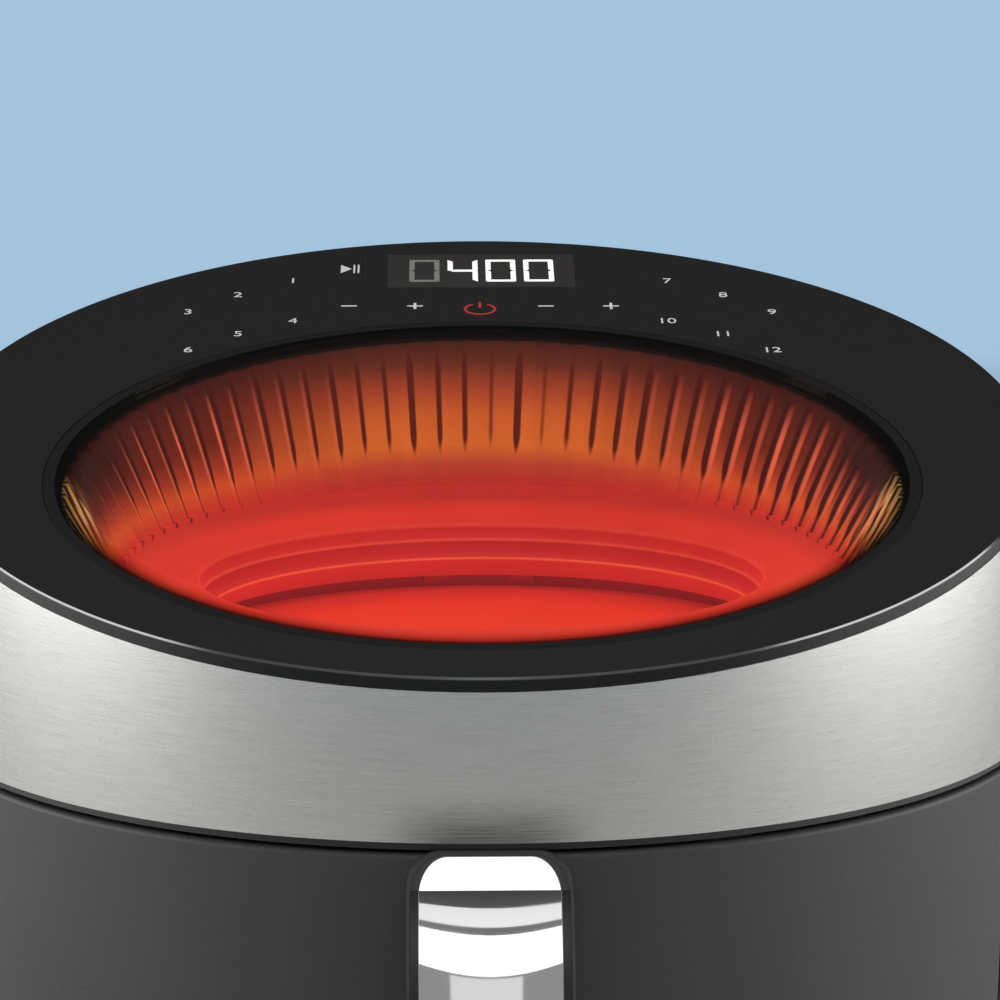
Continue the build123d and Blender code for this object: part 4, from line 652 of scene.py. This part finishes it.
# Printed marks on the sloped panel
PANEL_ORIGIN = Vector((0, AXIS_Y, PANEL_TOP_Z))
ACROSS = Vector((1, 0, 0))
UPHILL = Vector((0, math.cos(TILT), math.sin(TILT)))
OUT = Vector((0, -math.sin(TILT), math.cos(TILT)))
MARK_T = 0.00006
PHOTO_HALF = 500.0
FOCAL_PX = LENS_MM / SENSOR_MM * 2 * PHOTO_HALF


def slope_matrix(x, along, lift=0.0):
    """Frame on the panel: x across, along uphill from the body axis, lift above the face."""
    place = PANEL_ORIGIN + ACROSS * x + UPHILL * along + OUT * lift
    turn = Matrix((ACROSS, UPHILL, OUT)).transposed()
    return Matrix.Translation(place) @ turn.to_4x4()


def on_panel(px, py):
    """Place on the panel, across and along, that a pixel of the photograph shows."""
    place, forward, right, up = VIEW
    ray = forward + right * ((px - PHOTO_HALF) / FOCAL_PX) - up * ((py - PHOTO_HALF) / FOCAL_PX)
    hit = place + ray * ((PANEL_ORIGIN - place).dot(OUT) / ray.dot(OUT)) - PANEL_ORIGIN
    return hit.x, hit.dot(UPHILL)


def plate(name, outlines, matrix, mat):
    """One thin mesh from closed outlines in a local plane, raised by a mark's thickness."""
    mesh = bmesh.new()
    for outline in outlines:
        low = [mesh.verts.new((x, y, 0.0)) for x, y in outline]
        high = [mesh.verts.new((x, y, MARK_T)) for x, y in outline]
        mesh.faces.new(high)
        mesh.faces.new(list(reversed(low)))
        for i in range(len(outline)):
            j = (i + 1) % len(outline)
            mesh.faces.new((low[i], low[j], high[j], high[i]))
    bmesh.ops.recalc_face_normals(mesh, faces=mesh.faces)
    data = bpy.data.meshes.new(name)
    mesh.to_mesh(data)
    mesh.free()
    data.transform(matrix)
    data.materials.append(mat)
    obj = bpy.data.objects.new(name, data)
    scene.collection.objects.link(obj)
    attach(obj, "housing")


INK_PATCH = 500.0
INK_DULL = 0.9                    # of its power that the dullest spot of a mark keeps


def print_mat(name, colour, power):
    """Printed or lit mark with a slight unevenness."""
    net = Net(name)
    patch = net.noise(net.position(), INK_PATCH)
    return net.set(colour=colour, rough=0.5, glow=colour,
                   power=net.uneven(patch, power * INK_DULL, power))


WHITE_LIT = print_mat("digit_lit", linear(236, 236, 234), 0.8)
WHITE_DIM = print_mat("digit_dim", linear(120, 119, 116), 0.35)
WHITE_INK = print_mat("panel_ink", linear(214, 214, 212), 0.25)
RED_INK = print_mat("power_ink", linear(176, 40, 52), 0.35)

# Display digits, seven bars each; places are measured across from the display's middle
DIGIT_W = 0.0098
DIGIT_H = 0.0206
BAR = 0.0017
BAR_GAP = BAR * 0.12
SEGMENTS = {"0": "abcdef", "4": "bcfg"}
DIM_DIGIT_X = -0.0185
LIT_DIGITS = (("4", -0.0060), ("0", 0.0064), ("0", 0.0188))


def digit_outlines(digit, cx):
    """Outlines of a digit's bars round a centre."""
    w, h, t, gap = DIGIT_W / 2, DIGIT_H / 2, BAR, BAR_GAP
    bars = {
        "a": [(-w + gap, h), (w - gap, h), (w - t, h - t), (-w + t, h - t)],
        "d": [(-w + gap, -h), (-w + t, -h + t), (w - t, -h + t), (w - gap, -h)],
        "g": [(-w + t, t / 2), (w - t, t / 2), (w - t / 2, 0), (w - t, -t / 2),
              (-w + t, -t / 2), (-w + t / 2, 0)],
        "b": [(w, h - gap), (w, gap), (w - t / 2, gap), (w - t, t / 2 + gap),
              (w - t, h - t - gap)],
        "f": [(-w, h - gap), (-w + t, h - t - gap), (-w + t, t / 2 + gap),
              (-w + t / 2, gap), (-w, gap)],
        "c": [(w, -gap), (w, -h + gap), (w - t, -h + t + gap), (w - t, -t / 2 - gap),
              (w - t / 2, -gap)],
        "e": [(-w, -gap), (-w + t / 2, -gap), (-w + t, -t / 2 - gap),
              (-w + t, -h + t + gap), (-w, -h + gap)],
    }
    return [[(cx + x, y) for x, y in bars[key]] for key in SEGMENTS[digit]]


def rounded(half_w, half_l, corner, steps=6):
    """Rectangle with rounded corners round the origin."""
    points = []
    for quarter, (sx, sy) in enumerate(((1, 1), (-1, 1), (-1, -1), (1, -1))):
        for step in range(steps + 1):
            turn = math.pi / 2 * (quarter + step / steps)
            points.append((sx * (half_w - corner) + corner * math.cos(turn),
                           sy * (half_l - corner) + corner * math.sin(turn)))
    return points


# Dark display window, printed over the lens where the photograph shows it
SCREEN_LEFT_PX, SCREEN_TOP_PX = 388, 255
SCREEN_RIGHT_PX, SCREEN_LOW_PX = 576, 287
SCREEN_CORNER = 0.0008
left, top = on_panel(SCREEN_LEFT_PX, SCREEN_TOP_PX)
right, low = on_panel(SCREEN_RIGHT_PX, SCREEN_LOW_PX)
screen_x = (left + right) / 2
screen_along = (top + low) / 2
plate("display_window", [rounded((right - left) / 2, (top - low) / 2, SCREEN_CORNER)],
      slope_matrix(screen_x, screen_along),
      grained("window_tint", linear(58, 56, 54), 0.3, 1400.0, 0.000002, 0.4, 0.03))
screen = slope_matrix(screen_x, screen_along, MARK_T)
plate("digit_dim", digit_outlines("0", DIM_DIGIT_X), screen, WHITE_DIM)
plate("digits_lit", [outline for digit, x in LIT_DIGITS for outline in digit_outlines(digit, x)],
      screen, WHITE_LIT)

# Numbers in place of the words at the touch keys, at the photograph's pixels
NUMBER_H = 0.0062
KEY_PIXELS = [(293, 281), (238, 295), (188, 312), (293, 321), (238, 334), (188, 350),
              (667, 281), (723, 295), (772, 312), (667, 321), (723, 334), (772, 350)]


def number(text, x, along):
    curve = bpy.data.curves.new("key_" + text, "FONT")
    curve.body = text
    curve.size = NUMBER_H
    curve.align_x = "CENTER"
    curve.align_y = "CENTER"
    curve.extrude = MARK_T / 2
    curve.materials.append(WHITE_INK)
    obj = bpy.data.objects.new("key_" + text, curve)
    scene.collection.objects.link(obj)
    obj.matrix_world = slope_matrix(x, along, MARK_T / 2)
    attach(obj, "housing")


for index, pixel in enumerate(KEY_PIXELS):
    number(str(index + 1), *on_panel(*pixel))


# Generic signs
def bar(cx, cy, w, h):
    """Rectangle round a centre."""
    return [(cx + sx * w / 2, cy + sy * h / 2) for sx, sy in ((-1, -1), (1, -1), (1, 1), (-1, 1))]


def arc_band(steps, radius, width, start, stop):
    """A band along an arc round the origin, cut into short convex pieces."""
    made = []
    for i in range(steps):
        a = start + (stop - start) * i / steps
        b = start + (stop - start) * (i + 1) / steps
        made.append([(r * math.cos(turn), r * math.sin(turn))
                     for r, turn in ((radius, a), (radius, b), (radius - width, b),
                                     (radius - width, a))])
    return made


SIGN_W = 0.0050
SIGN_T = 0.0009
PLUS_ARM = 0.0023
PLUS_ARM_AT = 0.0016
PLAY_LEFT, PLAY_TIP, PLAY_HALF = -0.0030, 0.0005, 0.0038
PAUSE_T = 0.0006
PAUSE_AT = (0.0014, 0.0028)
POWER_R = 0.0052
POWER_STEPS = 22
POWER_ARC = (math.radians(118), math.radians(422))
POWER_BAR_H = 0.0052
POWER_BAR_AT = 0.0036

minus = [bar(0, 0, SIGN_W, SIGN_T)]
plus = minus + [bar(0, side * PLUS_ARM_AT, SIGN_T, PLUS_ARM) for side in (1, -1)]
play = [[(PLAY_LEFT, -PLAY_HALF), (PLAY_TIP, 0.0), (PLAY_LEFT, PLAY_HALF)]]
play += [bar(x, 0, PAUSE_T, 2 * PLAY_HALF) for x in PAUSE_AT]
power = arc_band(POWER_STEPS, POWER_R, SIGN_T, *POWER_ARC)
power += [bar(0, POWER_BAR_AT, SIGN_T, POWER_BAR_H)]
SIGNS = (
    # Name, pixel of the photograph, outlines, ink
    ("sign_minus_left", (349, 306), minus, WHITE_INK),
    ("sign_plus_left", (415, 306), plus, WHITE_INK),
    ("sign_minus_right", (546, 306), minus, WHITE_INK),
    ("sign_plus_right", (611, 306), plus, WHITE_INK),
    ("sign_play", (350, 269), play, WHITE_INK),
    ("sign_power", (480, 309), power, RED_INK),
)
for name, pixel, outlines, ink in SIGNS:
    plate(name, outlines, slope_matrix(*on_panel(*pixel)), ink)


# Floor and light
PALE_BLUE = linear(164, 195, 221)
GROUND_TONE = linear(206, 206, 204)
BLACK = (0, 0, 0, 1)
GROUND_HALF = 30.0
GROUND_DROP = 0.0005
GROUND_FADE = (1.7, 2.4)          # where the plain floor runs into the pale blue ground


def stage_floor():
    """Pale floor: plain near the object, running into an evenly lit pale blue ground far away."""
    mesh = bmesh.new()
    bmesh.ops.create_grid(mesh, x_segments=2, y_segments=2, size=GROUND_HALF)
    data = bpy.data.meshes.new("floor")
    mesh.to_mesh(data)
    mesh.free()
    net = Net("pale_floor")
    x, y, z = net.split(net.position())
    far = net.rescale(net.length(x, y), *GROUND_FADE, smooth=True)
    data.materials.append(net.set(colour=net.mix(far, GROUND_TONE, BLACK), rough=0.9, level=0.1,
                                  glow=PALE_BLUE, power=far))
    obj = bpy.data.objects.new("floor", data)
    scene.collection.objects.link(obj)
    obj.location = (0, 0, -GROUND_DROP)


stage_floor()


def soft_box(name, place, look, width, height, radiance):
    """Area lamp whose face shows at the given radiance, where 1 is white."""
    data = bpy.data.lights.new(name, "AREA")
    data.shape = "RECTANGLE"
    data.size = width
    data.size_y = height
    data.energy = radiance * math.pi * width * height
    obj = bpy.data.objects.new(name, data)
    scene.collection.objects.link(obj)
    obj.location = place
    obj.rotation_mode = "QUATERNION"
    obj.rotation_quaternion = (Vector(look) - Vector(place)).to_track_quat("-Z", "Y")


LAMP_Z = 2.0
LAMPS = (
    # Name, place, point it looks at, width, height, radiance
    ("box_left", (-1.6, 0.0, 0.55), (0, 0.0, 0.35), 1.9, 1.1, 3.0),
    ("box_right", (1.6, 0.0, 0.55), (0, 0.0, 0.35), 1.9, 1.1, 3.0),
    ("box_over", (0, 0.5, LAMP_Z), (0, 0.5, 0), 1.3, 0.86, 1.6),
    ("box_front_high", (0, -0.675, LAMP_Z), (0, -0.675, 0), 1.3, 0.29, 0.85),
    ("box_front", (0, -1.32, LAMP_Z), (0, -1.32, 0), 1.3, 0.75, 1.7),
    ("box_middle", (0, -1.95, 1.85), (0, -0.15, 0.2), 0.5, 0.5, 0.5),
    ("box_camera", (0, -2.4, 0.9), (0, 0, 0.25), 0.7, 0.9, 0.6),
)
for lamp in LAMPS:
    soft_box(*lamp)

# The world's light runs from the front to the sides: directions along y, then strengths
FILL_ALONG = (-0.7, 0.0)
FILL_POWER = (0.32, 0.06)


def studio_world():
    """Soft fill from the front, little from behind, and pale blue where the camera sees it."""
    world = bpy.data.worlds.new("studio")
    scene.world = world
    world.use_nodes = True
    net = Nodes(world.node_tree)
    x, y, z = net.split(net.node("ShaderNodeTexCoord").outputs["Generated"])
    strength = net.rescale(y, *FILL_ALONG, *FILL_POWER, smooth=True)
    fill = net.node("ShaderNodeCombineColor")
    for socket in fill.inputs:
        net.link(strength, socket)
    seen = net.node("ShaderNodeLightPath").outputs["Is Camera Ray"]
    net.link(net.mix(seen, fill.outputs[0], PALE_BLUE), net.tree.nodes["Background"].inputs[0])


studio_world()

scene.view_settings.view_transform = "Standard"
